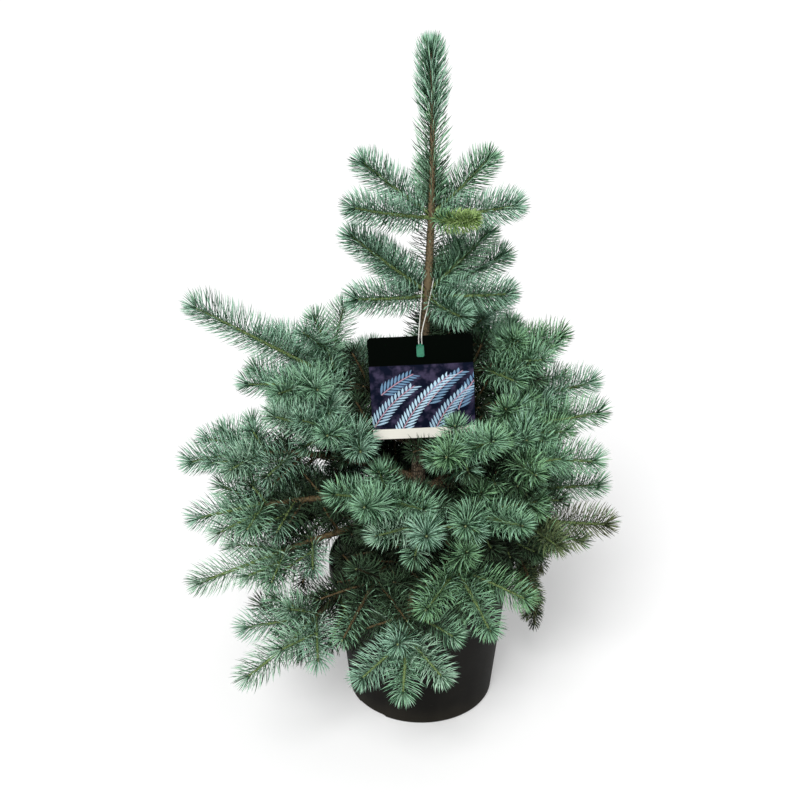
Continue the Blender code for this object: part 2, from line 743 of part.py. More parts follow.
def spray_shoots(bough, wood, draw):
    """Start, heading, lift and length of each side shoot, by the rule for a spray."""
    shoots = []
    for branch in SPRAY:
        place = bough.limb + (1 - bough.limb) * branch.place
        start, heading = point_along(wood, place)
        around = branch.around + draw.uniform(-1, 1) * BRANCH_TURN_JITTER
        spread = branch.spread + draw.uniform(-1, 1) * BRANCH_TURN_JITTER
        share = branch.share * (1 + draw.uniform(-1, 1) * BRANCH_LENGTH_JITTER)
        length = max(BRANCH_SHORTEST, bough.side * share)
        shoots.append((start, side_heading(heading, around, spread), BRANCH_LIFT, length))
    return shoots


class Mass:
    """One mass of foliage: twigs that become one solid."""

    def __init__(self, name):
        self.name, self.twigs = name, []

    def add(self, twig):
        """Adds a twig and returns it."""
        self.twigs.append(twig)
        return twig

    def make(self):
        """Fuses the twigs to the first one and names the solid."""
        others = helper_collection(self.name + " twigs")
        solid = self.twigs[0].finish(self.name, None)
        for i, twig in enumerate(self.twigs[1:]):
            twig.finish(f"twig {i}", others)
        if not others.objects:
            empty_out(others)
            return solid
        return fuse(solid, others)


def grow_spray(bough, solids, cores, draw):
    """A bough's mass: its axis past the bare limb and the side shoots that find room."""
    mass = Mass("foliage_" + bough.name)
    axis, radii, facing = bough_axis(bough)
    bare = TWIG_BARE if bough.limb else bough.wood * INNER_BARE
    mass.add(Twig(axis, radii, STEM_SIDES, bare=bare, first=facing))
    for start, heading, lift, length in spray_shoots(bough, bough_wood(bough), draw):
        for share in (1, 0.8):
            path = shoot_path(start, heading, lift, length * share)
            shifted = [point + heading * BRANCH_TEST_START for point in path]
            if clear_of(shifted, solids, TWIG_OFF_SOLIDS) and clear_of(shifted, cores, TWIG_SPACING):
                mass.add(Twig(path, twig_radii(len(path))))
                break
    return mass


def sleeve(first, last):
    """Path and radii of a core round the trunk, wide enough for its bore and a thin wall."""
    count = max(3, round((last - first) / NEEDLE_PITCH) + 1)
    heights = [first + (last - first) * i / (count - 1) for i in range(count)]
    wide = math.cos(math.pi / SLEEVE_SIDES)
    radii = [(trunk_radius(height) + CLEARANCE + SLEEVE_WALL) / wide for height in heights]
    return Twig([trunk_point(height) for height in heights], radii, SLEEVE_SIDES, bare=0.0)


def grow_whorl(name, first, last, whorl, shoots):
    """Needles on a stretch of the trunk, and the one-year shoots of the whorl on it."""
    mass = Mass(name)
    mass.add(sleeve(first, last))
    for shoot in shoots:
        start = trunk_point(whorl - shoot.drop)
        heading = direction(shoot.azimuth, shoot.rise)
        path = shoot_path(start, heading, shoot.lift, shoot.length)
        mass.add(Twig(path, twig_radii(len(path)), bare=WHORL_BARE))
    return mass


def bore(solid):
    """Cuts the trunk's way through a mass, a clearance wide."""
    bm = trunk_tube(CLEARANCE / math.cos(math.pi / TRUNK_SIDES), CLEARANCE)
    return keep_outside(cut(solid, object_from(bm, "bore cutter", "bark")))


# name, span of the needles on the trunk, whorl and its shoots
STEM_MASSES = [
    ("leader", FIRST_WHORL + 0.010, TRUNK_TIP + 0.003, FIRST_WHORL, []),
    ("first_whorl", SECOND_WHORL + 0.022, FIRST_WHORL + 0.006, FIRST_WHORL, FIRST_SHOOTS),
    ("second_whorl", THIRD_WHORL + 0.018, SECOND_WHORL + 0.006, SECOND_WHORL, SECOND_SHOOTS),
]


def grow_all(solids):
    """Every mass of foliage, cores first and then the needles that find room."""
    masses = [
        grow_whorl(name, first, last, whorl, shoots)
        for name, first, last, whorl, shoots in STEM_MASSES
    ]
    cores = [twig.tree for mass in masses for twig in mass.twigs]
    for number, bough in enumerate(BOUGHS):
        draw = random.Random(SPRAY_SEED + number)
        others = [tree for name, tree in solids.items() if name != "bough_" + bough.name]
        mass = grow_spray(bough, others, cores, draw)
        cores += [twig.tree for twig in mass.twigs]
        masses.append(mass)
    obstacles = [*solids.values(), *cores]
    draw = random.Random(SPRAY_SEED)
    for mass in masses:
        for twig in mass.twigs:
            twig.plan_needles(obstacles, draw)
            tree = twig.needle_tree()
            if tree:
                obstacles.append(tree)
    return masses


def main():
    """Clears the scene and builds the potted spruce."""
    for obj in list(bpy.data.objects):
        bpy.data.objects.remove(obj)
    solids = [make_pot(), make_soil(), make_trunk(), make_tag(), make_seal(), make_string()]
    solids += [make_limb(bough) for bough in BOUGHS if bough.limb > 0]
    bpy.context.view_layer.update()
    trees = {solid.name: tree_of(solid) for solid in solids}
    on_trunk = [name for name, *_ in STEM_MASSES]
    for mass in grow_all(trees):
        solid = mass.make()
        if mass.name in on_trunk:
            bore(solid)
    for solid in solids:
        if solid.name in ("pot", "trunk") or solid.name.startswith("bough_"):
            solid.data.shade_smooth()
            solid.data.set_sharp_from_angle(angle=math.radians(40))


main()
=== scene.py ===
"""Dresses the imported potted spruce: needles, twigs, bark, pot, soil and hang tag.

Metres, +Z up, and -Y is the front. The boughs and shoots grow by the seeded rule of the
part's own source, written again here, and are carried on to finer shoots inside the
same reach. The frame gives the solids; nothing else is read.
"""

import logging
import math
import random
from collections.abc import Callable, Iterable, Sequence
from dataclasses import dataclass, field
from enum import Enum

import bmesh
import bpy
import numpy as np
from mathutils import Matrix, Vector, noise
from mathutils.bvhtree import BVHTree


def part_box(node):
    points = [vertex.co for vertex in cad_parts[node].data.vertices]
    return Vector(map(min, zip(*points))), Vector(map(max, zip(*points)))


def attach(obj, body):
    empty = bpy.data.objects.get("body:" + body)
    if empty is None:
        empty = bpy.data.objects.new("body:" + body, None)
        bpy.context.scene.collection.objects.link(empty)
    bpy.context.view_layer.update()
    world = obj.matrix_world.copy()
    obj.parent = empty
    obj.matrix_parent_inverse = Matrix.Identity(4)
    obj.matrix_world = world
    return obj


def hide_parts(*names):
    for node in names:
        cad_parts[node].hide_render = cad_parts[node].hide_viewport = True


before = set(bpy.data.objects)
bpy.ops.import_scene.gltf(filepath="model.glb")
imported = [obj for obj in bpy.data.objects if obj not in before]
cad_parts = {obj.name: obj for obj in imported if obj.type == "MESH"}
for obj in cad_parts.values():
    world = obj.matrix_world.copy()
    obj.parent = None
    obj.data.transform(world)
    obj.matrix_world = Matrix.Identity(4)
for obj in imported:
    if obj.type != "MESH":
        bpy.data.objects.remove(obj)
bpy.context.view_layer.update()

LOG = logging.getLogger("potted spruce")
BODY = "root"
UP = Vector((0, 0, 1))
GOLDEN_TURN = math.pi * (3 - math.sqrt(5))
QUARTER = Matrix.Rotation(math.pi / 2, 4, "X")
LEAST_SIDE = 0.05
CLEARANCE = 0.0003
Colour = tuple[float, float, float]
Size = tuple[float, float, float]
Span = tuple[float, float]
Curve = tuple[Span, ...]
Shape = bmesh.types.BMesh
Mesh = bpy.types.Mesh
Socket = bpy.types.NodeSocket


# ---- shader building


def arithmetic(operation: str, first: bool = True) -> "Callable[[Value, Value | float], Value]":
    """A method of Value for one operator.

    Args:
        operation: the Math node's operation.
        first: False where the value is the operator's second number.

    Returns:
        The method.
    """

    def method(self: "Value", other: "Value | float") -> "Value":
        """The operator's result."""
        return self.maths(operation, other, first=first)

    return method


class Value:
    """A number in a shader: arithmetic on it adds Math nodes."""

    __add__ = __radd__ = arithmetic("ADD")
    __mul__ = __rmul__ = arithmetic("MULTIPLY")
    __sub__, __rsub__ = arithmetic("SUBTRACT"), arithmetic("SUBTRACT", first=False)
    __truediv__ = arithmetic("DIVIDE")

    def __init__(self, paint: "Paint", socket: Socket) -> None:
        """Keeps the socket and the material it belongs to."""
        self.paint, self.socket = paint, socket

    def maths(self, operation: str, *others: "Value | float", first: bool = True) -> "Value":
        """Adds one Math node.

        Args:
            operation: the node's operation.
            others: its other numbers.
            first: False where this number is the second one.

        Returns:
            The node's result.
        """
        numbers = [self, *others] if first else [*others, self]
        node = self.paint.node(
            "ShaderNodeMath", {"operation": operation}, dict(enumerate(numbers))
        )
        return Value(self.paint, node.outputs[0])

    def step(self, low: float, high: float) -> "Value":
        """Rises smoothly from 0 at low to 1 at high, or falls where low is the larger.

        Args:
            low: where the rise starts.
            high: where it ends.

        Returns:
            The share risen, from 0 to 1.
        """
        ends = (0.0, 1.0) if low < high else (1.0, 0.0)
        node = self.paint.node(
            "ShaderNodeMapRange", {"interpolation_type": "SMOOTHSTEP"},
            {"Value": self, "From Min": min(low, high), "From Max": max(low, high),
             "To Min": ends[0], "To Max": ends[1]},
        )
        return Value(self.paint, node.outputs[0])


class Paint:
    """One material in the making: every node comes from node()."""

    def __init__(self, name: str) -> None:
        """Starts a material with its Principled shader.

        Args:
            name: the material's name.
        """
        self.material = bpy.data.materials.new(name)
        self.material.use_nodes = True
        self.tree = self.material.node_tree
        self.shader = self.tree.nodes["Principled BSDF"]

    def node(
        self, kind: str, settings: dict[str, object] | None = None,
        sockets: dict[str | int, object] | None = None,
    ) -> bpy.types.Node:
        """Adds a node.

        Args:
            kind: the node's type.
            settings: its properties, set first.
            sockets: values or links by socket name or number.

        Returns:
            The node.
        """
        made = self.tree.nodes.new(kind)
        for key, value in (settings or {}).items():
            setattr(made, key, value)
        self.feed(made, sockets or {})
        return made

    def feed(self, node: bpy.types.Node, sockets: dict[str | int, object]) -> None:
        """Sets or links a node's sockets.

        Args:
            node: the node that takes them.
            sockets: values or links by socket name or number.
        """
        for key, value in sockets.items():
            source = value.socket if isinstance(value, Value) else value
            if isinstance(source, Socket):
                self.tree.links.new(source, node.inputs[key])
            elif isinstance(source, tuple) and node.inputs[key].type == "RGBA":
                node.inputs[key].default_value = (*source, 1.0)
            else:
                node.inputs[key].default_value = source

    def place(
        self, scale: Size = (1, 1, 1), uv: str = ""
    ) -> Socket:
        """The piece's own coordinates, scaled.

        Args:
            scale: the scale of each axis.
            uv: the UV map to read in place of Object coordinates.

        Returns:
            The vector's socket.
        """
        if uv:
            source = self.node("ShaderNodeUVMap", {"uv_map": uv}).outputs[0]
        else:
            source = self.node("ShaderNodeTexCoord").outputs["Object"]
        return self.node("ShaderNodeMapping", {}, {"Vector": source, "Scale": scale}).outputs[0]

    def parts(self, vector: Socket) -> tuple[Value, Value, Value]:
        """The three numbers of a vector."""
        split = self.node("ShaderNodeSeparateXYZ", {}, {0: vector})
        return tuple(Value(self, socket) for socket in split.outputs)

    def noise(
        self, scale: float, detail: float = 3.0, vector: Socket | None = None,
        roughness: float = 0.55,
    ) -> Value:
        """Noise from 0 to 1, with scale cells a metre, detail octaves and their roughness.

        Args:
            scale: cells a metre.
            detail: number of octaves.
            vector: where it is read.
            roughness: weight of the finer octaves.

        Returns:
            The noise.
        """
        made = self.node("ShaderNodeTexNoise", {}, {
            "Vector": vector or self.place(), "Scale": scale, "Detail": detail,
            "Roughness": roughness,
        })
        return Value(self, made.outputs[0])

    def cells(
        self, scale: float, vector: Socket | None = None, feature: str = "F1"
    ) -> Value:
        """Distance in a pattern of scale cells a metre, by one of the node's features.

        Args:
            scale: cells a metre.
            vector: where it is read.
            feature: the node's feature.

        Returns:
            The distance.
        """
        made = self.node("ShaderNodeTexVoronoi", {"feature": feature}, {
            "Vector": vector or self.place(), "Scale": scale,
        })
        return Value(self, made.outputs["Distance"])

    def mix(self, factor: Value, a: object, b: object) -> Socket:
        """Mixes two colours, each a colour or a socket: factor is 0 for a and 1 for b.

        Args:
            factor: share of b.
            a: first colour.
            b: second colour.

        Returns:
            The mixed colour.
        """
        made = self.node(
            "ShaderNodeMix", {"data_type": "RGBA", "clamp_factor": True},
            {0: factor, 6: a, 7: b},
        )
        return made.outputs[2]

    def bump(self, height: Value, distance: float, strength: float = 1.0) -> None:
        """Raises the surface by a height, where 1 stands for a distance in metres.

        Args:
            height: height of the surface.
            distance: metres that a height of 1 stands for.
            strength: strength of the relief.
        """
        made = self.node("ShaderNodeBump", {}, {
            "Strength": strength, "Distance": distance, "Height": height,
        })
        self.feed(self.shader, {"Normal": made.outputs[0]})


class Finish:
    """A finish whose material is made once and then shared."""

    name: str

    def material(self) -> bpy.types.Material:
        """The finish's material.

        Returns:
            The material, made once.
        """
        found = bpy.data.materials.get(self.name)
        if found:
            return found
        paint = Paint(self.name)
        self.dress(paint)
        return paint.material

    def dress(self, paint: Paint) -> None:
        """Lays the finish on a new material."""
        raise NotImplementedError


@dataclass(frozen=True)
class NeedleFinish(Finish):
    """One face tone of a needle: a plain colour under a thin bloom of wax."""

    name: str
    colour: Colour
    bloom: float = 0.03
    roughness: float = 0.5

    def dress(self, paint: Paint) -> None:
        """Lays the tone and its wax.

        Args:
            paint: the material to lay it on.
        """
        paint.feed(paint.shader, {
            "Base Color": self.colour, "Roughness": self.roughness,
            "Specular IOR Level": 0.16, "Sheen Weight": self.bloom,
            "Sheen Roughness": 0.5, "Sheen Tint": (0.90, 0.95, 0.90),
        })


@dataclass(frozen=True)
class BarkFinish(Finish):
    """Rough bark: flakes between dark fissures, with a younger skin higher up."""

    name: str
    fissure: Colour
    plate: Colour
    crust: Colour
    young: Colour
    young_from: float
    young_to: float

    def dress(self, paint: Paint) -> None:
        """Lays flakes, fissures and the change to young skin.

        Args:
            paint: the material to lay it on.
        """
        along = paint.place((1, 1, 0.45))
        flakes = paint.cells(420, along, "DISTANCE_TO_EDGE").step(0.02, 0.22)
        tone = paint.noise(160, 4, along)
        top = paint.mix(tone.step(0.35, 0.68), self.plate, self.crust)
        old = paint.mix(flakes, self.fissure, top)
        height = paint.parts(paint.place())[2] + (tone - 0.5) * 0.06
        share = height.step(self.young_from, self.young_to)
        skin = paint.mix(paint.noise(900, 3).step(0.4, 0.7), self.young, self.plate)
        fine = paint.noise(1400, 4)
        paint.feed(paint.shader, {
            "Base Color": paint.mix(share, old, skin),
            "Roughness": fine * 0.2 + 0.72, "Specular IOR Level": 0.25,
        })
        paint.bump(flakes * 0.6 + fine * 0.4, 0.0004, 0.7)


@dataclass(frozen=True)
class GrainFinish(Finish):
    """Two tones in a fine grain that also roughens and raises the surface.

    grain is its cells in a metre, octaves its detail and upright its scale along Z; tones
    is where the shade turns to the colour, rough the grain's share of the roughness and
    its least, relief the bump's height and strength, and fixed what is the same all over.
    """

    name: str
    colour: Colour
    shade: Colour
    grain: float
    octaves: float = 4.0
    upright: float = 1.0
    tones: Span = (0.3, 0.7)
    rough: Span = (0.15, 0.35)
    relief: Span = (0.0001, 0.4)
    fixed: tuple[tuple[str, float], ...] = ()

    def dress(self, paint: Paint) -> None:
        """Lays the grain's tones, roughness and relief.

        Args:
            paint: the material to lay it on.
        """
        grain = paint.noise(self.grain, self.octaves, paint.place((1, 1, self.upright)))
        paint.feed(paint.shader, {
            "Base Color": paint.mix(grain.step(*self.tones), self.shade, self.colour),
            "Roughness": grain * self.rough[0] + self.rough[1], **dict(self.fixed),
        })
        paint.bump(grain, *self.relief)


@dataclass(frozen=True)
class PotFinish(Finish):
    """Matt black moulded plastic, dusty at the foot and faintly scuffed."""

    name: str = "pot plastic"
    colour: Colour = (0.0046, 0.0042, 0.0034)
    worn: Colour = (0.0085, 0.0078, 0.0062)
    dust: Colour = (0.060, 0.052, 0.038)

    def dress(self, paint: Paint) -> None:
        """Lays grain, flow marks, scuffs and dust.

        Args:
            paint: the material to lay it on.
        """
        grain = paint.noise(1500, 2)
        mottle = paint.noise(22, 5)
        flow = paint.noise(30, 4, paint.place((1, 1, 0.12)))
        scuff = paint.noise(60, 6, paint.place((1, 1, 9)), 0.7).step(0.63, 0.70)
        height = paint.parts(paint.place())[2]
        specks = paint.noise(420, 5, None, 0.75).step(0.60, 0.74)
        foot = (height + (mottle - 0.5) * 0.03).step(0.030, 0.004)
        dusty = foot * 0.18 + mottle.step(0.52, 0.72) * 0.04 + specks * 0.12
        base = paint.mix(flow.step(0.35, 0.70), self.colour, self.worn)
        base = paint.mix(scuff * 0.35, base, self.dust)
        paint.feed(paint.shader, {
            "Base Color": paint.mix(dusty, base, self.dust),
            "Roughness": mottle * 0.16 + dusty * 0.25 + 0.55,
            "Specular IOR Level": 0.08,
        })
        paint.bump(grain * 0.7 + flow * 0.3 - scuff * 0.2, 0.00025, 0.55)


@dataclass(frozen=True)
class SoilFinish(Finish):
    """Dark potting peat: crumbs, fibres and lighter grains."""

    name: str
    deep: Colour
    crumb: Colour
    light: Colour

    def dress(self, paint: Paint) -> None:
        """Lays crumbs and specks.

        Args:
            paint: the material to lay it on.
        """
        crumbs = paint.noise(300, 7, None, 0.7)
        specks = paint.cells(700).step(0.32, 0.12) * paint.noise(60, 2).step(0.5, 0.62)
        tone = paint.mix(crumbs.step(0.35, 0.66), self.deep, self.crumb)
        paint.feed(paint.shader, {
            "Base Color": paint.mix(specks, tone, self.light),
            "Roughness": crumbs * 0.15 + 0.82, "Specular IOR Level": 0.2,
        })
        paint.bump(crumbs, 0.0015, 0.9)


@dataclass(frozen=True)
class PrintedSpray:
    """One printed spray: its foot on the card, turn in degrees, length, droop and light."""

    across: float
    up: float
    turn: float
    length: float
    droop: float
    light: float


@dataclass(frozen=True)
class PrintFinish(Finish):
    """The tag's printed face: a dark header, sprays of slim leaves at dusk, a pale strip."""

    name: str = "tag print"
    header: Colour = (0.0004, 0.0012, 0.0006)
    night: Colour = (0.004, 0.006, 0.016)
    dusk: Colour = (0.048, 0.040, 0.078)
    blue: Colour = (0.100, 0.200, 0.330)
    pale: Colour = (0.640, 0.850, 0.950)
    stem: Colour = (0.500, 0.300, 0.380)
    strip: Colour = (0.80, 0.77, 0.70)
    header_edge: float = 0.725
    strip_edge: float = 0.100
    leaf_gap: float = 0.042
    leaf_length: float = 0.135
    leaf_width: float = 0.0125
    leaf_spread: float = 42.0
    veins: float = 40.0
    edge_blur: float = 0.002
    sprays: tuple[PrintedSpray, ...] = tuple(PrintedSpray(*row) for row in (
        (0.02, 0.12, 60, 0.54, 0.5, 1.05), (0.26, 0.02, 66, 0.74, 0.4, 1.25),
        (0.60, 0.04, 70, 0.56, 0.6, 1.00), (0.54, 0.32, 56, 0.46, 0.5, 0.66),
        (0.10, 0.44, 40, 0.36, 0.4, 0.60), (0.84, 0.26, 72, 0.52, 0.6, 0.62),
    ))

    def spray(
        self, paint: Paint, across: Value, up: Value, one: PrintedSpray
    ) -> tuple[Value, Value]:
        """How strongly a spray's leaves, and its stem, cover the card.

        Args:
            paint: the material; not used.
            across: place across the card, 0 to 1.
            up: place up the card, 0 to 1.
            one: the spray.

        Returns:
            The cover of the leaves and of the stem, 0 to 1.
        """
        turn, spread = math.radians(one.turn), math.radians(self.leaf_spread)
        x, y = across - one.across, up - one.up
        along = x * math.cos(turn) + y * math.sin(turn)
        side = y * math.cos(turn) - x * math.sin(turn) + along * along * one.droop
        aside = side.maths("ABSOLUTE")
        foot = along - aside / math.tan(spread) + side.step(-1e-4, 1e-4) * (self.leaf_gap / 2)
        off = ((foot / self.leaf_gap).maths("FRACT") - 0.5) * (self.leaf_gap * math.sin(spread))
        length = (1.0 - foot * (0.45 / one.length)) * self.leaf_length
        out = (aside / math.sin(spread) + off / math.tan(spread)) / length
        thin = off.maths("ABSOLUTE") / self.leaf_width
        cover = ((out * math.pi).maths("SINE") - thin).step(-0.04, 0.20)
        cover = cover * out.step(0.0, 0.02) * out.step(1.0, 0.98)
        cover = cover * foot.step(0.0, 0.004) * foot.step(one.length, one.length - 0.004)
        veins = ((out - thin * 0.2) * self.veins).maths("SINE") * 0.12
        stem = aside.step(0.008, 0.003) * along.step(0.0, 0.01)
        stem = stem * along.step(one.length + 0.02, one.length)
        return cover * (veins + thin.step(0.30, 0.05) * 0.30 + 0.62) * one.light, stem

    def dress(self, paint: Paint) -> None:
        """Lays the print under its gloss.

        Args:
            paint: the material to lay it on.
        """
        across, up, _ = paint.parts(paint.place(uv="card"))
        cloud = paint.noise(9, 5, paint.place(uv="card"))
        colour = paint.mix(cloud.step(0.42, 0.68), self.night, self.dusk)
        for one in self.sprays[::-1]:
            leaves, stem = self.spray(paint, across, up, one)
            colour = paint.mix(leaves.step(0.02, 0.30), colour, self.blue)
            colour = paint.mix(leaves.step(0.30, 1.20), colour, self.pale)
            colour = paint.mix(stem * 0.8, colour, self.stem)
        blur = self.edge_blur
        header = (up - self.header_edge).step(-blur, blur)
        colour = paint.mix(header, colour, self.header)
        strip = up.step(self.strip_edge + blur, self.strip_edge - blur)
        colour = paint.mix(strip, colour, self.strip)
        wear = paint.noise(90, 5)
        paint.feed(paint.shader, {
            "Base Color": colour, "Roughness": wear * 0.12 + 0.42, "Specular IOR Level": 0.02,
        })
        paint.bump(wear, 0.0001, 0.15)


@dataclass(frozen=True)
class FloorFinish(Finish):
    """The studio's plain pale floor."""

    name: str = "studio floor"
    colour: Colour = (0.64, 0.64, 0.64)
    glow: float = 0.32

    def dress(self, paint: Paint) -> None:
        """Lays a plain matt coat, lit a little from within so that shadows stay pale.

        Args:
            paint: the material to lay it on.
        """
        paint.feed(paint.shader, {
            "Base Color": self.colour, "Roughness": 0.9, "Specular IOR Level": 0.1,
            "Emission Color": (1.0, 1.0, 1.0), "Emission Strength": self.glow,
        })


TRUNK_BARK = BarkFinish(
    "trunk bark", (0.020, 0.015, 0.009), (0.125, 0.088, 0.056), (0.215, 0.180, 0.130),
    (0.170, 0.128, 0.068), 0.36, 0.52,
)
NO_YOUNG_SKIN = (5.0, 6.0)
LIMB_BARK = BarkFinish(
    "limb bark", (0.026, 0.017, 0.009), (0.125, 0.080, 0.040), (0.180, 0.140, 0.088),
    (0.140, 0.095, 0.050), *NO_YOUNG_SKIN,
)
CARD_PLASTIC = GrainFinish(
    "tag card", (0.76, 0.76, 0.73), (0.66, 0.66, 0.63), 500, 5, relief=(0.0001, 0.3),
    fixed=(("Coat Weight", 0.15),),
)
SEAL_PLASTIC = GrainFinish(
    "seal plastic", (0.012, 0.190, 0.100), (0.006, 0.110, 0.060), 260, rough=(0.12, 0.28),
    fixed=(("Coat Weight", 0.35), ("Coat Roughness", 0.12), ("Subsurface Weight", 0.05)),
)
TWINE = GrainFinish(
    "twine", (0.74, 0.73, 0.69), (0.42, 0.41, 0.37), 2600, 3, 0.3, (0.3, 0.6), (0.2, 0.5),
    (0.0001, 0.5), (("Sheen Weight", 0.2),),
)


def twig_skin(name: str, skin: Colour, shade: Colour) -> GrainFinish:
    """The skin of a shoot, ridged between its leaf cushions."""
    look = (1100, 3, 0.6, (0.38, 0.62), (0.25, 0.55), (0.0003, 0.6))
    return GrainFinish(name, skin, shade, *look, (("Specular IOR Level", 0.3),))


class Skin(Enum):
    """The skins that a shoot's twig may have."""

    GREEN = twig_skin("green twig", (0.200, 0.285, 0.095), (0.115, 0.155, 0.055))
    BROWN = twig_skin("brown twig", (0.140, 0.096, 0.040), (0.050, 0.036, 0.018))
    BUD = twig_skin("bud scales", (0.230, 0.290, 0.130), (0.150, 0.180, 0.075))


class Tint(Enum):
    """The colours of needles: upper face, and under face whose colour is painted shade, a far
    darker copy of the upper.
    """

    # painted shade: the second colour of each pair, the under face's, is a darkened copy of the
    # first
    BLOOM = ((0.470, 0.690, 0.520), (0.064, 0.146, 0.082))
    BLUE = ((0.345, 0.580, 0.430), (0.038, 0.104, 0.058))
    SEA = ((0.300, 0.545, 0.350), (0.030, 0.084, 0.040))
    GREEN = ((0.265, 0.500, 0.265), (0.028, 0.074, 0.026))
    # painted shade: the next two tints darken needles that the crown shades; the second, near
    # black, also goes on the old needles of the inner wood
    DEEP = ((0.062, 0.118, 0.060), (0.009, 0.022, 0.008))
    OLD = ((0.020, 0.036, 0.016), (0.004, 0.008, 0.003))
    OLIVE = ((0.130, 0.150, 0.064), (0.030, 0.036, 0.013))
    MOSS = ((0.200, 0.270, 0.120), (0.030, 0.048, 0.018))
    FRESH = ((0.400, 0.560, 0.210), (0.120, 0.210, 0.050))

    def finishes(self) -> tuple[NeedleFinish, NeedleFinish]:
        """The tint's upper finish, and its under finish that is painted shade.

        Returns:
            The upper finish and the under finish.
        """
        word = self.name.lower()
        upper, under = self.value
        return (
            NeedleFinish(f"needle {word} upper", upper),
            NeedleFinish(f"needle {word} under", under, bloom=0.0),
        )


# ---- laying out pieces


@dataclass
class Arrays:
    """Points and faces of many small shapes that become one mesh."""

    points: list[np.ndarray] = field(default_factory=list)
    faces: list[np.ndarray] = field(default_factory=list)
    marks: list[np.ndarray] = field(default_factory=list)
    count: int = 0

    def add(self, points: np.ndarray, faces: np.ndarray, mark: int | None = None) -> None:
        """Adds one block of shapes.

        Args:
            points: n x 3 places.
            faces: m x 4 point numbers; a triangle's last one is -1.
            mark: the finish's number, unless the caller adds its own marks.
        """
        self.points.append(points)
        self.faces.append(np.where(faces >= 0, faces + self.count, -1))
        if mark is not None:
            self.marks.append(np.full(len(faces), mark))
        self.count += len(points)

    def mesh(self, name: str, finishes: Sequence[Finish]) -> Mesh:
        """The blocks as one mesh, with only the finishes that it uses.

        Args:
            name: the mesh's name.
            finishes: the finishes that the marks count.

        Returns:
            The mesh.
        """
        points = np.concatenate(self.points).astype(np.float32)
        faces = np.concatenate(self.faces)
        used, marks = np.unique(np.concatenate(self.marks), return_inverse=True)
        sizes = (faces >= 0).sum(axis=1)
        loops = faces[faces >= 0]
        made = bpy.data.meshes.new(name)
        made.vertices.add(len(points))
        made.vertices.foreach_set("co", points.ravel())
        made.loops.add(len(loops))
        made.loops.foreach_set("vertex_index", loops.astype(np.int32))
        made.polygons.add(len(faces))
        starts = np.concatenate(([0], np.cumsum(sizes)[:-1]))
        made.polygons.foreach_set("loop_start", starts.astype(np.int32))
        made.polygons.foreach_set("material_index", marks.astype(np.int32))
        made.update(calc_edges=True)
        made.validate()
        for number in used:
            made.materials.append(finishes[number].material())
        return made


def linked(name: str, data: bpy.types.ID) -> bpy.types.Object:
    """A new object in the scene.

    Args:
        name: the object's name.
        data: its mesh or other data.

    Returns:
        The object.
    """
    made = bpy.data.objects.new(name, data)
    bpy.context.scene.collection.objects.link(made)
    return made


def add_piece(
    name: str, mesh: Mesh, nodes: Iterable[str] = ()
) -> bpy.types.Object:
    """Makes a mesh a piece of the plant.

    Args:
        name: the piece's name.
        mesh: its mesh, in place.
        nodes: the CAD nodes that it stands for.

    Returns:
        The piece.
    """
    made = linked(name, mesh)
    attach(made, BODY)
    nodes = tuple(nodes)
    if nodes:
        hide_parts(*nodes)
    triangles = sum(len(face.vertices) - 2 for face in mesh.polygons)
    LOG.info("%s: %d triangles, stands for %s", name, triangles, ", ".join(nodes) or "no node")
    return made


def mesh_from(bm: Shape, name: str, *finishes: Finish) -> Mesh:
    """Turns a bmesh into a smooth mesh with its finishes, and frees it.

    Args:
        bm: the shape.
        name: the mesh's name.
        finishes: its finishes, in the order of its slots.

    Returns:
        The mesh.
    """
    made = bpy.data.meshes.new(name)
    bm.to_mesh(made)
    bm.free()
    made.shade_smooth()
    made.set_sharp_from_angle(angle=math.radians(38))
    for finish in finishes:
        made.materials.append(finish.material())
    return made


def cut(mesh: Mesh, other: Mesh) -> Mesh:
    """One mesh less another.

    Args:
        mesh: the mesh that is kept.
        other: the cutter.

    Returns:
        The new mesh.
    """
    body, tool = linked("kept", mesh), linked("cutter", other)
    change = body.modifiers.new("change", "BOOLEAN")
    change.operation, change.object, change.solver = "DIFFERENCE", tool, "EXACT"
    bpy.context.view_layer.update()
    graph = bpy.context.evaluated_depsgraph_get()
    made = bpy.data.meshes.new_from_object(body.evaluated_get(graph))
    bpy.data.objects.remove(body)
    bpy.data.objects.remove(tool)
    return made


def spun(outline: Sequence[Span], segments: int) -> Shape:
    """A round closed shape, spun about the Z axis.

    Args:
        outline: (radius, height) points, of which the first and the last are on the axis.
        segments: the steps of a full turn.

    Returns:
        The shape.
    """
    bm = bmesh.new()
    points = [bm.verts.new((radius, 0, height)) for radius, height in outline]
    edges = [bm.edges.new(pair) for pair in zip(points, points[1:])]
    bmesh.ops.spin(
        bm, geom=points + edges, axis=(0, 0, 1), cent=(0, 0, 0), dvec=(0, 0, 0),
        angle=math.tau, steps=segments, use_merge=True,
    )
    bmesh.ops.remove_doubles(bm, verts=bm.verts, dist=1e-5)
    bmesh.ops.recalc_face_normals(bm, faces=bm.faces)
    return bm


def round_edges(
    bm: Shape, edges: Iterable[bmesh.types.BMEdge], offset: float, segments: int,
    clamped: bool = False,
) -> None:
    """Rounds edges of a shape; clamped keeps the rounds from crossing.

    Args:
        bm: the shape.
        edges: edges to round.
        offset: width of the round.
        segments: steps across it.
        clamped: true to keep rounds from crossing.
    """
    bmesh.ops.bevel(
        bm, geom=list(edges), offset=offset, segments=segments, profile=0.5, affect="EDGES",
        material=-1, clamp_overlap=clamped,
    )


def add_rod(
    bm: Shape, radii: Span, length: float, place: Matrix,
    segments: int = 24,
) -> None:
    """Adds a closed round rod, centred on its place and along its Z axis.

    Args:
        bm: the shape that gets it.
        radii: radius at the foot and at the top.
        length: its length.
        place: its place and turn.
        segments: sides round it.
    """
    bmesh.ops.create_cone(
        bm, cap_ends=True, segments=segments, radius1=radii[0], radius2=radii[1],
        depth=length, matrix=place,
    )


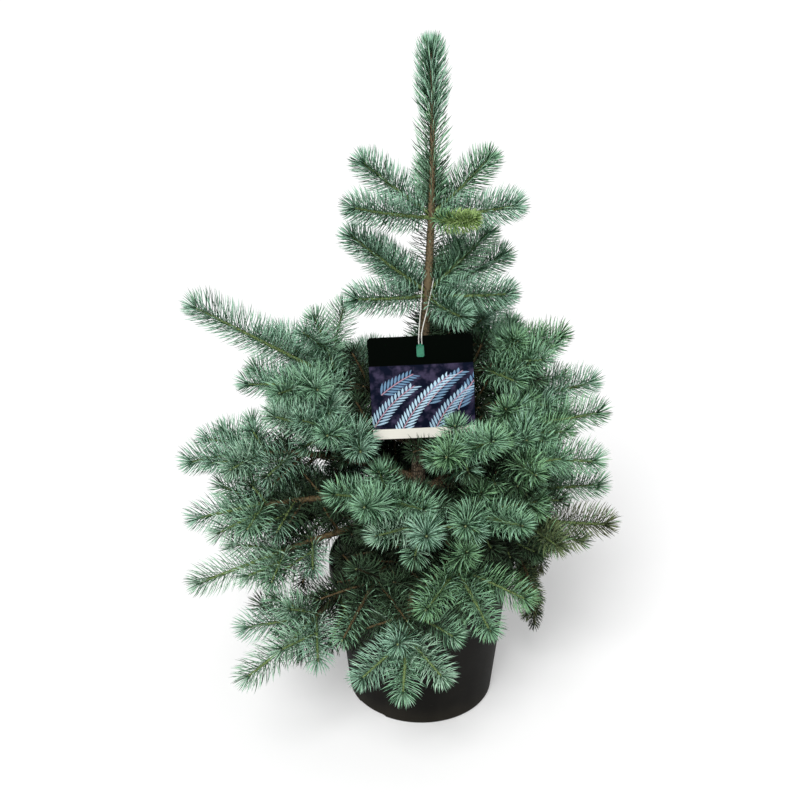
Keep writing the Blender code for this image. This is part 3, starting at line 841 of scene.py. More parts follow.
def edges_through(bm: Shape, least: float) -> list[bmesh.types.BMEdge]:
    """The edges that run through a flat shape from its front to its back."""
    return [e for e in bm.edges if abs(e.verts[0].co.y - e.verts[1].co.y) > least]


# ---- rules of growth


def direction(azimuth: float, rise: float) -> Vector:
    """Unit vector at degrees of azimuth and of rise above level."""
    a, r = math.radians(azimuth), math.radians(rise)
    return Vector((math.cos(a) * math.cos(r), math.sin(a) * math.cos(r), math.sin(r)))


def curved_path(
    start: Vector, heading: Vector, lift: float, length: float, step: float
) -> list[Vector]:
    """Points along a heading that turns upwards.

    Args:
        start: the first point.
        heading: the heading there.
        lift: how far it turns in all, in degrees.
        length: the path's length.
        step: the wished distance between points.

    Returns:
        The points.
    """
    count = max(2, round(length / step))
    side = heading.cross(UP)
    points = [start.copy()]
    for i in range(count):
        turn = math.radians(lift) * (i + 0.5) / count
        bent = heading
        if side.length > LEAST_SIDE:
            bent = Matrix.Rotation(turn, 3, side.normalized()) @ heading
        points.append(points[-1] + bent * (length / count))
    return points


def point_along(points: Sequence[Vector], share: float) -> tuple[Vector, Vector]:
    """Place and heading at a share of the path's points.

    Args:
        points: the path.
        share: share of its points, from 0 to 1.

    Returns:
        The place and the heading.
    """
    place = share * (len(points) - 1)
    i = min(int(place), len(points) - 2)
    heading = (points[i + 1] - points[i]).normalized()
    return points[i].lerp(points[i + 1], place - i), heading


def side_heading(heading: Vector, around: float, spread: float) -> Vector:
    """Heading of a side shoot.

    Args:
        heading: the stem's heading.
        around: degrees round the stem; 0 is right, 90 up.
        spread: degrees off the stem.

    Returns:
        The unit heading.
    """
    right = heading.cross(UP).normalized()
    above = right.cross(heading)
    a, s = math.radians(around), math.radians(spread)
    out = right * math.cos(a) + above * math.sin(a)
    return heading * math.cos(s) + out * math.sin(s)


def smooth_path(points: Sequence[Vector], step: float) -> np.ndarray:
    """A finer path through the same points, without corners.

    Args:
        points: the coarse path.
        step: the wished distance between fine points.

    Returns:
        n x 3 places.
    """
    coarse = [points[0] * 2 - points[1], *points, points[-1] * 2 - points[-2]]
    p = np.array([tuple(v) for v in coarse])
    fine = []
    for i in range(1, len(p) - 2):
        count = max(1, round(float(np.linalg.norm(p[i + 1] - p[i])) / step))
        t = (np.arange(count) / count)[:, None]
        a, b, c, d = p[i - 1], p[i], p[i + 1], p[i + 2]
        fine.append(
            0.5 * (2 * b + (c - a) * t + (2 * a - 5 * b + 4 * c - d) * t**2
                   + (3 * b - a - 3 * c + d) * t**3)
        )
    return np.vstack([*fine, p[-2:-1]])


def unit(rows: np.ndarray) -> np.ndarray:
    """The rows at unit length."""
    return rows / np.linalg.norm(rows, axis=1)[:, None]


def square_to(rows: np.ndarray, axes: np.ndarray) -> np.ndarray:
    """The rows less what they have along unit axes, at unit length."""
    return unit(rows - axes * (rows * axes).sum(axis=1)[:, None])


def run_along(path: np.ndarray) -> np.ndarray:
    """Distance along a path from its first point to each."""
    return np.concatenate(([0.0], np.cumsum(np.linalg.norm(np.diff(path, axis=0), axis=1))))


def frames_along(path: np.ndarray) -> tuple[np.ndarray, np.ndarray, np.ndarray]:
    """Axes carried along a path with as little turn as can be.

    Args:
        path: n x 3 places.

    Returns:
        The headings and the two axes across them, n x 3 each.
    """
    heading = unit(np.gradient(path, axis=0))
    x = np.cross(heading[0], (0, 0, 1.0))
    x = x if np.linalg.norm(x) > LEAST_SIDE else np.array((1.0, 0, 0))
    across = np.empty_like(path)
    for i, h in enumerate(heading):
        x = x - h * x.dot(h)
        x /= np.linalg.norm(x)
        across[i] = x
    return heading, across, np.cross(heading, across)


@dataclass(frozen=True)
class Habit:
    """How needles stand on one kind of shoot.

    lean_root and lean_tip are degrees off the shoot, lifted draws needles to the upper
    side, and upswept turns upper needles out and lower ones in, and lengthens the upper.
    """

    per_metre: float
    length: float
    lean_root: float
    lean_tip: float
    width: float = 0.00046
    tip_count: int = 12
    lifted: float = 0.16
    upswept: float = 9.0
    skin: Skin = Skin.GREEN
    bud: bool = True


class Kind(Enum):
    """The kinds of shoots, from the leader to the old wood inside."""

    LEADER = Habit(5600, 0.0275, 42, 27, 0.00052, 56, lifted=0.0, upswept=0, bud=False)
    SPIRE = Habit(2400, 0.0265, 46, 42, 0.00056, 0, lifted=0.0, upswept=0, bud=False)
    STEM = Habit(2200, 0.0235, 68, 54, tip_count=0, lifted=0.1, bud=False)
    WHORL = Habit(4700, 0.0258, 68, 46, 0.00048, 34, upswept=7)
    LONG = Habit(3500, 0.0285, 76, 42, tip_count=28, upswept=15)
    TIP = Habit(3500, 0.0270, 74, 44, tip_count=28, lifted=0.26, upswept=13)
    SIDE = Habit(3300, 0.0262, 74, 45, tip_count=28, lifted=0.24, upswept=12)
    FINE = Habit(3000, 0.0240, 70, 43, tip_count=24, lifted=0.22, upswept=11)
    ROSE = Habit(3200, 0.0258, 66, 56, tip_count=46, lifted=0.20, upswept=10)
    OPEN = Habit(2300, 0.0272, 66, 38, tip_count=18, lifted=0.10, upswept=5)
    SHADE = Habit(2700, 0.0225, 72, 50, tip_count=20, skin=Skin.BROWN)
    WOOD = Habit(1900, 0.0215, 70, 54, tip_count=0, skin=Skin.BROWN, bud=False)
    INNER = Habit(2100, 0.0205, 68, 50, tip_count=10, skin=Skin.BROWN, bud=False)
    HANGING = Habit(2700, 0.0135, 62, 40, tip_count=12, skin=Skin.BROWN, bud=False)
    YOUNG = Habit(4600, 0.0165, 60, 42, tip_count=40, upswept=0)
    STUB = Habit(1100, 0.0026, 62, 50, 0.00055, 0, 0.0, 0, Skin.BROWN, False)


@dataclass
class Shoot:
    """One shoot: its fine path, radii, kind, tints, bare foot, light and the tint of its tip."""

    path: np.ndarray
    root_radius: float
    tip_radius: float
    kind: Kind
    tints: tuple[Tint, ...]
    bare: float = 0.004
    light: Span = (1.0, 1.0)
    tip_tint: Tint | None = None

    def radii(self) -> np.ndarray:
        """Radius at each point."""
        run = run_along(self.path)
        return self.root_radius + (self.tip_radius - self.root_radius) * (run / run[-1])


NEEDLE_SIDES = 3
NEEDLE_STATIONS = (0.0, 0.70)
NEEDLE_WIDTHS = (0.80, 0.96)
TINTS = list(Tint)
NEEDLE_FINISHES = [finish for tint in TINTS for finish in tint.finishes()]
SKINS = [skin.value for skin in Skin]


def needle_faces() -> np.ndarray:
    """Faces of one needle: the sides, the point and the flat foot.

    Returns:
        The faces, as indices of the needle's points.
    """
    n = NEEDLE_SIDES
    rows = [(k, (k + 1) % n, n + (k + 1) % n, n + k) for k in range(n)]
    rows += [(n + k, n + (k + 1) % n, 2 * n, -1) for k in range(n)]
    rows.append((2, 1, 0, -1))
    return np.array(rows)


class Walls:
    """The solids that no needle or fine shoot may pierce."""

    def __init__(self, nodes: Iterable[str]) -> None:
        """Builds one tree of the named CAD nodes.

        Args:
            nodes: names of the CAD nodes.
        """
        points, faces = [], []
        for name in nodes:
            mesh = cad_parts[name].data
            first = len(points)
            points += [vertex.co.copy() for vertex in mesh.vertices]
            faces += [tuple(first + i for i in face.vertices) for face in mesh.polygons]
        self.tree = BVHTree.FromPolygons(points, faces)

    def room(self, start: np.ndarray, heading: np.ndarray, length: float) -> float:
        """Share of a needle's length that is free."""
        hit = self.tree.ray_cast(Vector(start), Vector(heading), length)
        return 1.0 if hit[3] is None else hit[3] / length

    def clear(self, path: Sequence[Vector], distance: float) -> bool:
        """True if the path stays further than distance from every wall."""
        return all(self.tree.find_nearest(point, distance)[0] is None for point in path)


class Sky:
    """How much open sky a place in the crown has; it picks the needles' painted shade."""

    directions = 16
    start = 0.022
    reach = 0.26

    def __init__(self, nodes: Iterable[str]) -> None:
        """Keeps the crown's solids and even directions over the upper half.

        Args:
            nodes: names of the crown's CAD nodes.
        """
        self.tree = Walls(nodes).tree
        heights = [(i + 0.5) / self.directions for i in range(self.directions)]
        turns = [GOLDEN_TURN * i for i in range(self.directions)]
        self.ways = [
            Vector((math.cos(t) * math.sqrt(1 - h * h), math.sin(t) * math.sqrt(1 - h * h), h))
            for h, t in zip(heights, turns)
        ]

    def light(self, place: Sequence[float]) -> float:
        """Share of the directions that are open from a place.

        Args:
            place: where the light is asked for.

        Returns:
            The share, from 0 to 1.
        """
        centre = Vector(place)
        free = [
            self.tree.ray_cast(centre + way * self.start, way, self.reach)[3] is None
            for way in self.ways
        ]
        return sum(free) / len(free)

    def shine(self, shoots: Iterable[Shoot]) -> None:
        """Gives each shoot its light, at the root and at the tip.

        Args:
            shoots: the shoots that get it.
        """
        for shoot in shoots:
            count = len(shoot.path)
            at = [self.light(shoot.path[i]) for i in (count // 5, count // 2, count - 1)]
            shoot.light = ((at[0] * 2 + at[1]) / 3, (at[1] + at[2] * 2) / 3)


class Needles:
    """Grows the needles of shoots into arrays.

    Each noise is the spread of a draw. A needle is shorter over a stretch at both ends of
    its shoot, sits in the twig at seat of its radius, and is dropped where walls leave it
    less than shortest_room of its length. Where the open sky over a needle falls below the
    two light thresholds, it takes the shade's tints: painted shade, darker the less sky it
    has. late_from is where the tip's own tint starts.
    """

    place_noise, turn_noise, lean_noise = 0.4, 0.12, 2.6
    length_noise, width_noise = (0.90, 1.06), (0.88, 1.12)
    lean_bend, least_lean, tip_turn = 2.2, 0.02, 0.7
    curl, curl_noise = 10, 3
    seat, stretch = 0.8, 0.012
    root_length, tip_loss, upper_gain = 0.74, 0.28, 0.010
    shortest_room, room_from, room_beyond, room_share = 0.5, 0.0026, 1.08, 0.94
    upper_faces = 2
    tint_weights, own_tint = (0.56, 0.26, 0.18), 0.72
    dull_below, old_below, light_noise = 0.45, 0.335, 0.05
    late_from, late_noise = 0.45, 0.08

    def __init__(self, walls: Walls, seed: int) -> None:
        """Keeps the walls and starts the seeded draw."""
        self.walls, self.draw = walls, np.random.default_rng(seed)
        self.faces = needle_faces()

    def stand(self, shoot: Shoot) -> tuple[np.ndarray, ...]:
        """Where each needle of a shoot stands and how it leans.

        Args:
            shoot: the shoot.

        Returns:
            Distances along it, turns round it and leans, one each a needle.
        """
        habit, total = shoot.kind.value, run_along(shoot.path)[-1]
        count = max(3, int((total - shoot.bare) * habit.per_metre))
        along = shoot.bare + (total - shoot.bare) * (np.arange(count) + 0.5) / count
        along += self.draw.uniform(-self.place_noise, self.place_noise, count) / habit.per_metre
        share = np.clip(along / total, 0, 1)
        lean = habit.lean_root + (habit.lean_tip - habit.lean_root) * share**self.lean_bend
        turn = GOLDEN_TURN * np.arange(count)
        turn = turn + self.draw.uniform(-self.turn_noise, self.turn_noise, count)
        crown = habit.tip_count
        if crown:
            along = np.append(along, np.full(crown, total))
            turn = np.append(turn, GOLDEN_TURN * np.arange(crown) + self.tip_turn)
            lean = np.append(lean, habit.lean_tip * np.sqrt((np.arange(crown) + 0.6) / crown))
        return along, turn, np.radians(lean + self.draw.normal(0, self.lean_noise, len(lean)))

    def grow(self, shoot: Shoot, into: Arrays) -> int:
        """Grows a shoot's needles.

        Args:
            shoot: the shoot.
            into: the arrays that take them.

        Returns:
            How many found room.
        """
        habit, draw = shoot.kind.value, self.draw
        along, turn, lean = self.stand(shoot)
        run = run_along(shoot.path)

        def at(values: np.ndarray) -> np.ndarray:
            """A value of the path at each needle.

            Args:
                values: the value at each point of the path.

            Returns:
                The value at each needle.
            """
            if values.ndim == 1:
                return np.interp(along, run, values)
            return np.column_stack([np.interp(along, run, column) for column in values.T])

        heading, x, y = (at(axis) for axis in frames_along(shoot.path))
        heading = unit(heading)
        out = x * np.cos(turn)[:, None] + y * np.sin(turn)[:, None]
        out[:, 2] += habit.lifted
        out = square_to(out, heading)
        foot = at(shoot.path) + out * (at(shoot.radii()) * self.seat)[:, None]
        after_root = np.clip((along - shoot.bare) / self.stretch, 0, 1)
        into_tip = np.clip((along - run[-1] + self.stretch) / self.stretch, 0, 1)
        length = habit.length * (self.root_length + (1 - self.root_length) * after_root)
        length *= draw.uniform(*self.length_noise, len(along))
        length *= 1 - self.tip_loss * into_tip
        length *= 1 + self.upper_gain * habit.upswept * out[:, 2]
        lean += math.radians(habit.upswept) * out[:, 2]
        curl = np.radians(draw.normal(self.curl, self.curl_noise, len(along)))
        first = self.towards(heading, out, lean + curl)
        second = self.towards(heading, out, np.maximum(lean - curl, self.least_lean))
        kept = self.find_room(foot, first, second, length)
        if not kept.any():
            return 0
        light = np.interp(along, (0, run[-1]), shoot.light)
        parts = (foot, first, second, length, light, along / run[-1])
        foot, first, second, length, light, share = (part[kept] for part in parts)
        self.lay(foot, first, second, length, shoot, into)
        into.marks.append(self.marks(light, share, shoot))
        return int(kept.sum())

    @staticmethod
    def towards(heading: np.ndarray, out: np.ndarray, lean: np.ndarray) -> np.ndarray:
        """Unit directions at a lean off the heading."""
        return heading * np.cos(lean)[:, None] + out * np.sin(lean)[:, None]

    def find_room(
        self, foot: np.ndarray, first: np.ndarray, second: np.ndarray, length: np.ndarray
    ) -> np.ndarray:
        """Shortens needles that meet a wall, in place.

        Args:
            foot: where they stand.
            first: their directions at the foot.
            second: their directions at the point.
            length: their lengths, which this changes.

        Returns:
            A mask of those that are kept.
        """
        room = np.array([
            self.walls.room(a + b * self.room_from, b, c * self.room_beyond)
            for a, b, c in zip(foot, unit((first + second) / 2), length)
        ])
        length *= np.where(room < 1, room * self.room_share, 1)
        return room > self.shortest_room

    def lay(
        self, foot: np.ndarray, first: np.ndarray, second: np.ndarray, length: np.ndarray,
        shoot: Shoot, into: Arrays,
    ) -> None:
        """Lays each needle's points and faces.

        Args:
            foot: where the needles stand.
            first: their directions at the foot.
            second: their directions at the point.
            length: their lengths.
            shoot: the shoot that they grow on.
            into: the arrays that take them.
        """
        count, draw = len(foot), self.draw
        half = (length / 2)[:, None]
        across = unit(np.cross(first, draw.normal(size=(count, 3))))
        width = shoot.kind.value.width * draw.uniform(*self.width_noise, count)
        points = np.empty((count, 2 * NEEDLE_SIDES + 1, 3))

        def centre(t: float) -> np.ndarray:
            """The needle's middle at a share of its length."""
            return foot + first * half * (2 * t - t * t) + second * half * t * t

        for row, (t, wide) in enumerate(zip(NEEDLE_STATIONS, NEEDLE_WIDTHS)):
            facing = unit(first * (1 - t) + second * t)
            u = square_to(across, facing)
            v = np.cross(facing, u)
            for k in range(NEEDLE_SIDES):
                a = math.tau * k / NEEDLE_SIDES
                ring = u * math.cos(a) + v * math.sin(a)
                points[:, row * NEEDLE_SIDES + k] = centre(t) + ring * (width * wide)[:, None]
        points[:, -1] = centre(1.0)
        offsets = (np.arange(count) * points.shape[1])[:, None, None]
        faces = np.where(self.faces[None] >= 0, self.faces[None] + offsets, -1)
        into.add(points.reshape(-1, 3), faces.reshape(-1, 4))

    def marks(self, light: np.ndarray, share: np.ndarray, shoot: Shoot) -> np.ndarray:
        """The finish of each needle's faces: mostly the spray's own tint, with painted shade where
        it has little open sky.

        Args:
            light: the share of open sky over each needle.
            share: where each stands, from the shoot's root at 0 to its tip at 1.
            shoot: the shoot that they grow on.

        Returns:
            One finish number a face.
        """
        weights = np.array(self.tint_weights[: len(shoot.tints)])
        weights /= weights.sum()
        numbers = [TINTS.index(tint) for tint in shoot.tints]
        own = self.draw.choice(len(numbers), p=weights)
        weights *= 1 - self.own_tint
        weights[own] += self.own_tint
        picks = self.draw.choice(numbers, size=len(light), p=weights)
        # painted shade: needles under little open sky take the dark shade tints, the least lit near
        # black
        light = light + self.draw.normal(0, self.light_noise, len(light))
        picks = np.where(light < self.dull_below, TINTS.index(Tint.DEEP), picks)
        picks = np.where(light < self.old_below, TINTS.index(Tint.OLD), picks)
        if shoot.tip_tint:
            late = share + self.draw.normal(0, self.late_noise, len(share)) > self.late_from
            picks = np.where(late, TINTS.index(shoot.tip_tint), picks)
        # painted light and shade: two faces of each needle take the upper tone, the third face and
        # the foot the painted-shade under tone
        sides = [0] * self.upper_faces + [1] * (NEEDLE_SIDES - self.upper_faces)
        faces = np.array(sides * 2 + [1])
        return (picks[:, None] * 2 + faces[None]).ravel()


class Twigs:
    """Lays the twigs of shoots and their buds into arrays."""

    sides = 6
    point_length = 0.001
    ripple, ripple_pitch = 0.10, 2.4
    bud_stations = ((0.0, 1.0), (0.0012, 1.30), (0.0026, 0.90))
    bud_length = 0.0040

    def tube(
        self, path: np.ndarray, radii: np.ndarray, mark: int, into: Arrays, sides: int = 0
    ) -> None:
        """Lays a tube that is closed at its foot and runs to a point.

        Args:
            path: n x 3 places; the last is the point.
            radii: n radii; the last isn't used.
            mark: the finish's number.
            into: the arrays that take it.
            sides: how many sides, the class's own by default.
        """
        n, rings = sides or self.sides, len(path) - 1
        _, x, y = frames_along(path)
        turn = math.tau * np.arange(n) / n
        ring = (
            x[:rings, None] * np.cos(turn)[None, :, None]
            + y[:rings, None] * np.sin(turn)[None, :, None]
        )
        points = (path[:rings, None] + ring * radii[:rings, None, None]).reshape(-1, 3)
        k = np.arange(n)
        after = (k + 1) % n
        rows = [
            np.column_stack((r * n + k, r * n + after, r * n + n + after, r * n + n + k))
            for r in range(rings - 1)
        ]
        last, point, no_fourth = (rings - 1) * n, np.full(n, rings * n), np.full(n, -1)
        rows.append(np.column_stack((last + k, last + after, point, no_fourth)))
        rows.append(np.column_stack((after, k, point + 1, no_fourth)))
        into.add(np.vstack((points, path[-1:], path[:1])), np.vstack(rows), mark)

    def grow(self, shoot: Shoot, into: Arrays) -> None:
        """Lays a shoot's twig, and its bud where it has one.

        Args:
            shoot: the shoot.
            into: the arrays that take them.
        """
        habit = shoot.kind.value
        path, radii = shoot.path, shoot.radii()
        ending = path[-1] - path[-2]
        ending /= np.linalg.norm(ending)
        rough = 1 + self.ripple * np.sin(np.arange(len(radii)) * self.ripple_pitch)
        whole = np.vstack((path, path[-1] + ending * self.point_length))
        wide = np.append(radii * rough, 0)
        self.tube(whole, wide, SKINS.index(habit.skin.value), into)
        if habit.bud:
            stations = [path[-1] + ending * s for s, _ in self.bud_stations]
            stations.append(path[-1] + ending * self.bud_length)
            radii = np.array([shoot.tip_radius * w for _, w in self.bud_stations] + [0])
            self.tube(np.array(stations), radii, SKINS.index(Skin.BUD.value), into)


# ---- the plant's plan


@dataclass(frozen=True)
class WhorlShoot:
    """A one-year shoot straight on the trunk; drop is how far below the whorl it stands."""

    azimuth: float
    rise: float
    lift: float
    length: float
    drop: float
    tints: tuple[Tint, ...] = (Tint.BLUE, Tint.SEA, Tint.BLOOM)
    kind: Kind = Kind.WHORL
    tip_tint: Tint | None = None


@dataclass(frozen=True)
class Branch:
    """A side shoot in a spray: place along the stem, turn round it, spread and share."""

    place: float
    around: float
    spread: float
    share: float


COOL = (Tint.BLUE, Tint.SEA, Tint.BLOOM)
PALE = (Tint.BLOOM, Tint.BLUE, Tint.SEA)
LEAFY = (Tint.SEA, Tint.GREEN, Tint.BLUE)
# painted shade: the next two sets hold darkened tints for shoots that lie in the crown's shade
SHADED = (Tint.DEEP, Tint.SEA, Tint.OLD)
DARK = (Tint.OLD, Tint.DEEP)
MOSSY = (Tint.MOSS, Tint.GREEN, Tint.OLIVE)
DULL = (Tint.OLIVE, Tint.MOSS, Tint.OLD)
STEEP_DOWN = -80
FRONT = (235, 320)
LONG_TIP = 0.15


@dataclass(frozen=True)
class Bough:
    """One bough.

    rises are degrees above level at the trunk, the fork and the tip; wood is the length
    to the fork, tip the end shoot's with its needles, side the measure of the side
    shoots, limb the wood's bare share, fine how many finer shoots a side shoot has, and
    open is True where its needles stand far apart.
    """

    name: str
    height: float
    azimuth: float
    rises: Size
    wood: float
    tip: float
    side: float
    limb: float
    tints: tuple[Tint, ...] = COOL
    fine: int = 1
    open: bool = False

    def node(self) -> str:
        """The CAD node of its foliage."""
        return "foliage_" + self.name

    def hangs(self) -> bool:
        """True if its tip hangs straight down."""
        return self.rises[2] < STEEP_DOWN

    def kinds(self) -> tuple[Kind, Kind, Kind]:
        """The kinds of its end shoot, side shoots and fine shoots.

        Returns:
            The three kinds, in that order.
        """
        shaded = self.tints == SHADED
        for such, kind in (
            (self.hangs(), Kind.HANGING), (shaded, Kind.SHADE), (self.open, Kind.OPEN)
        ):
            if such:
                return kind, kind, kind
        if FRONT[0] < self.azimuth < FRONT[1]:
            return Kind.ROSE, Kind.ROSE, Kind.FINE
        return Kind.LONG if self.tip > LONG_TIP else Kind.TIP, Kind.SIDE, Kind.FINE


@dataclass
class Trunk:
    """The trunk, and the bark on it and on the limbs."""

    foot: float = 0.155 + CLEARANCE
    tip: float = 0.744
    foot_radius: float = 0.0098
    tip_radius: float = 0.0019
    taper: float = 1.25
    flare: float = 0.006
    flare_height: float = 0.012
    lean: float = 0.0055
    bow: float = 0.0046
    sides: int = 30
    ring_step: float = 0.0014
    limb_sides: int = 14
    relief: float = 0.00042
    full_relief_radius: float = 0.004
    cushion_rows: Curve = ((5, 900), (8, -1300))
    flake_cells: Span = (260, 150)
    flake_fractal: tuple[float, float, int] = (0.8, 2.1, 4)
    rib_cells: Span = (2.2, 24)
    rib_radius: float = 0.006
    cushion_share: float = 0.9
    flake_share: float = 0.75

    def middle(self, height: float) -> Vector:
        """Middle of the trunk at a height."""
        share = (height - self.foot) / (self.tip - self.foot)
        return Vector((self.lean * share**2 - self.bow * math.sin(math.tau * share), 0, height))

    def radius(self, height: float) -> float:
        """Radius of the trunk at a height.

        Args:
            height: height over the floor.

        Returns:
            The radius.
        """
        share = min(1, (height - self.foot) / (self.tip - self.foot))
        taper = self.tip_radius + (self.foot_radius - self.tip_radius) * (1 - share) ** self.taper
        return taper + self.flare * math.exp(-(height - self.foot) / self.flare_height)

    def stretch(self, first: float, last: float, step: float) -> tuple[np.ndarray, np.ndarray]:
        """The trunk between two heights.

        Args:
            first: the lower height.
            last: the upper height.
            step: the wished distance between points.

        Returns:
            n x 3 places up its middle, and its n radii.
        """
        count = round((last - first) / step)
        heights = [first + (last - first) * i / count for i in range(count + 1)]
        path = np.array([tuple(self.middle(height)) for height in heights])
        return path, np.array([self.radius(height) for height in heights])

    def start_of_limb(self, height: float, azimuth: float) -> Vector:
        """First point of a limb, just clear of the trunk's side."""
        return self.middle(height) + direction(azimuth, 0) * (self.radius(height) + CLEARANCE)

    def relief_at(self, along: float, turn: float, radius: float, seed: float) -> float:
        """How far the bark stands out of its round.

        Args:
            along: distance along the wood.
            turn: angle round it.
            radius: its radius there.
            seed: moves the pattern from one limb to the next.

        Returns:
            The height of the relief in metres.
        """
        x, y = math.cos(turn), math.sin(turn)
        cushions = math.prod(
            max(0.0, math.cos(count * turn + along * rise)) for count, rise in self.cushion_rows
        )
        across, up = self.flake_cells
        place = Vector((x * radius * across, y * radius * across, along * up + seed))
        flakes = self.flake_share * noise.fractal(place, *self.flake_fractal)
        across, up = self.rib_cells
        ribs = noise.noise(Vector((x * across, y * across, along * up + seed)))
        size = min(1.0, radius / self.full_relief_radius)
        ribs = ribs * radius / self.rib_radius
        return self.relief * size * (self.cushion_share * cushions + flakes + ribs)

    def swept(
        self, bm: Shape, path: np.ndarray, radii: np.ndarray, sides: int, seed: float
    ) -> None:
        """Adds wood along a path: a grid rolled round it, with its relief.

        Args:
            bm: the bmesh that takes it.
            path: n x 3 places.
            radii: n radii.
            sides: how many sides.
            seed: moves the relief's pattern.
        """
        rings = len(path) - 1
        made = bmesh.ops.create_grid(bm, x_segments=sides, y_segments=rings, size=0.5)["verts"]
        _, x, y = frames_along(path)
        run = run_along(path)
        for vertex in made:
            i = round((vertex.co.y + 0.5) * rings)
            turn = math.tau * (round((vertex.co.x + 0.5) * sides) % sides) / sides
            radius = radii[i]
            if 0 < i < rings:
                radius += self.relief_at(run[i], turn, radius, seed)
            vertex.co = path[i] + (x[i] * math.cos(turn) + y[i] * math.sin(turn)) * radius
        bmesh.ops.remove_doubles(bm, verts=made, dist=1e-7)
        ends = [edge for edge in bm.edges if edge.is_boundary]
        bmesh.ops.holes_fill(bm, edges=ends, sides=sides)

    def build(self) -> None:
        """Makes the trunk's bark."""
        bm = bmesh.new()
        path, radii = self.stretch(self.foot, self.tip, self.ring_step)
        self.swept(bm, path, radii, self.sides, 0.0)
        bmesh.ops.recalc_face_normals(bm, faces=bm.faces)
        for vertex in bm.verts:
            if vertex.co.z < self.foot + self.relief:
                vertex.co.z = self.foot
        add_piece("trunk_bark", mesh_from(bm, "trunk_bark", TRUNK_BARK), ["trunk"])


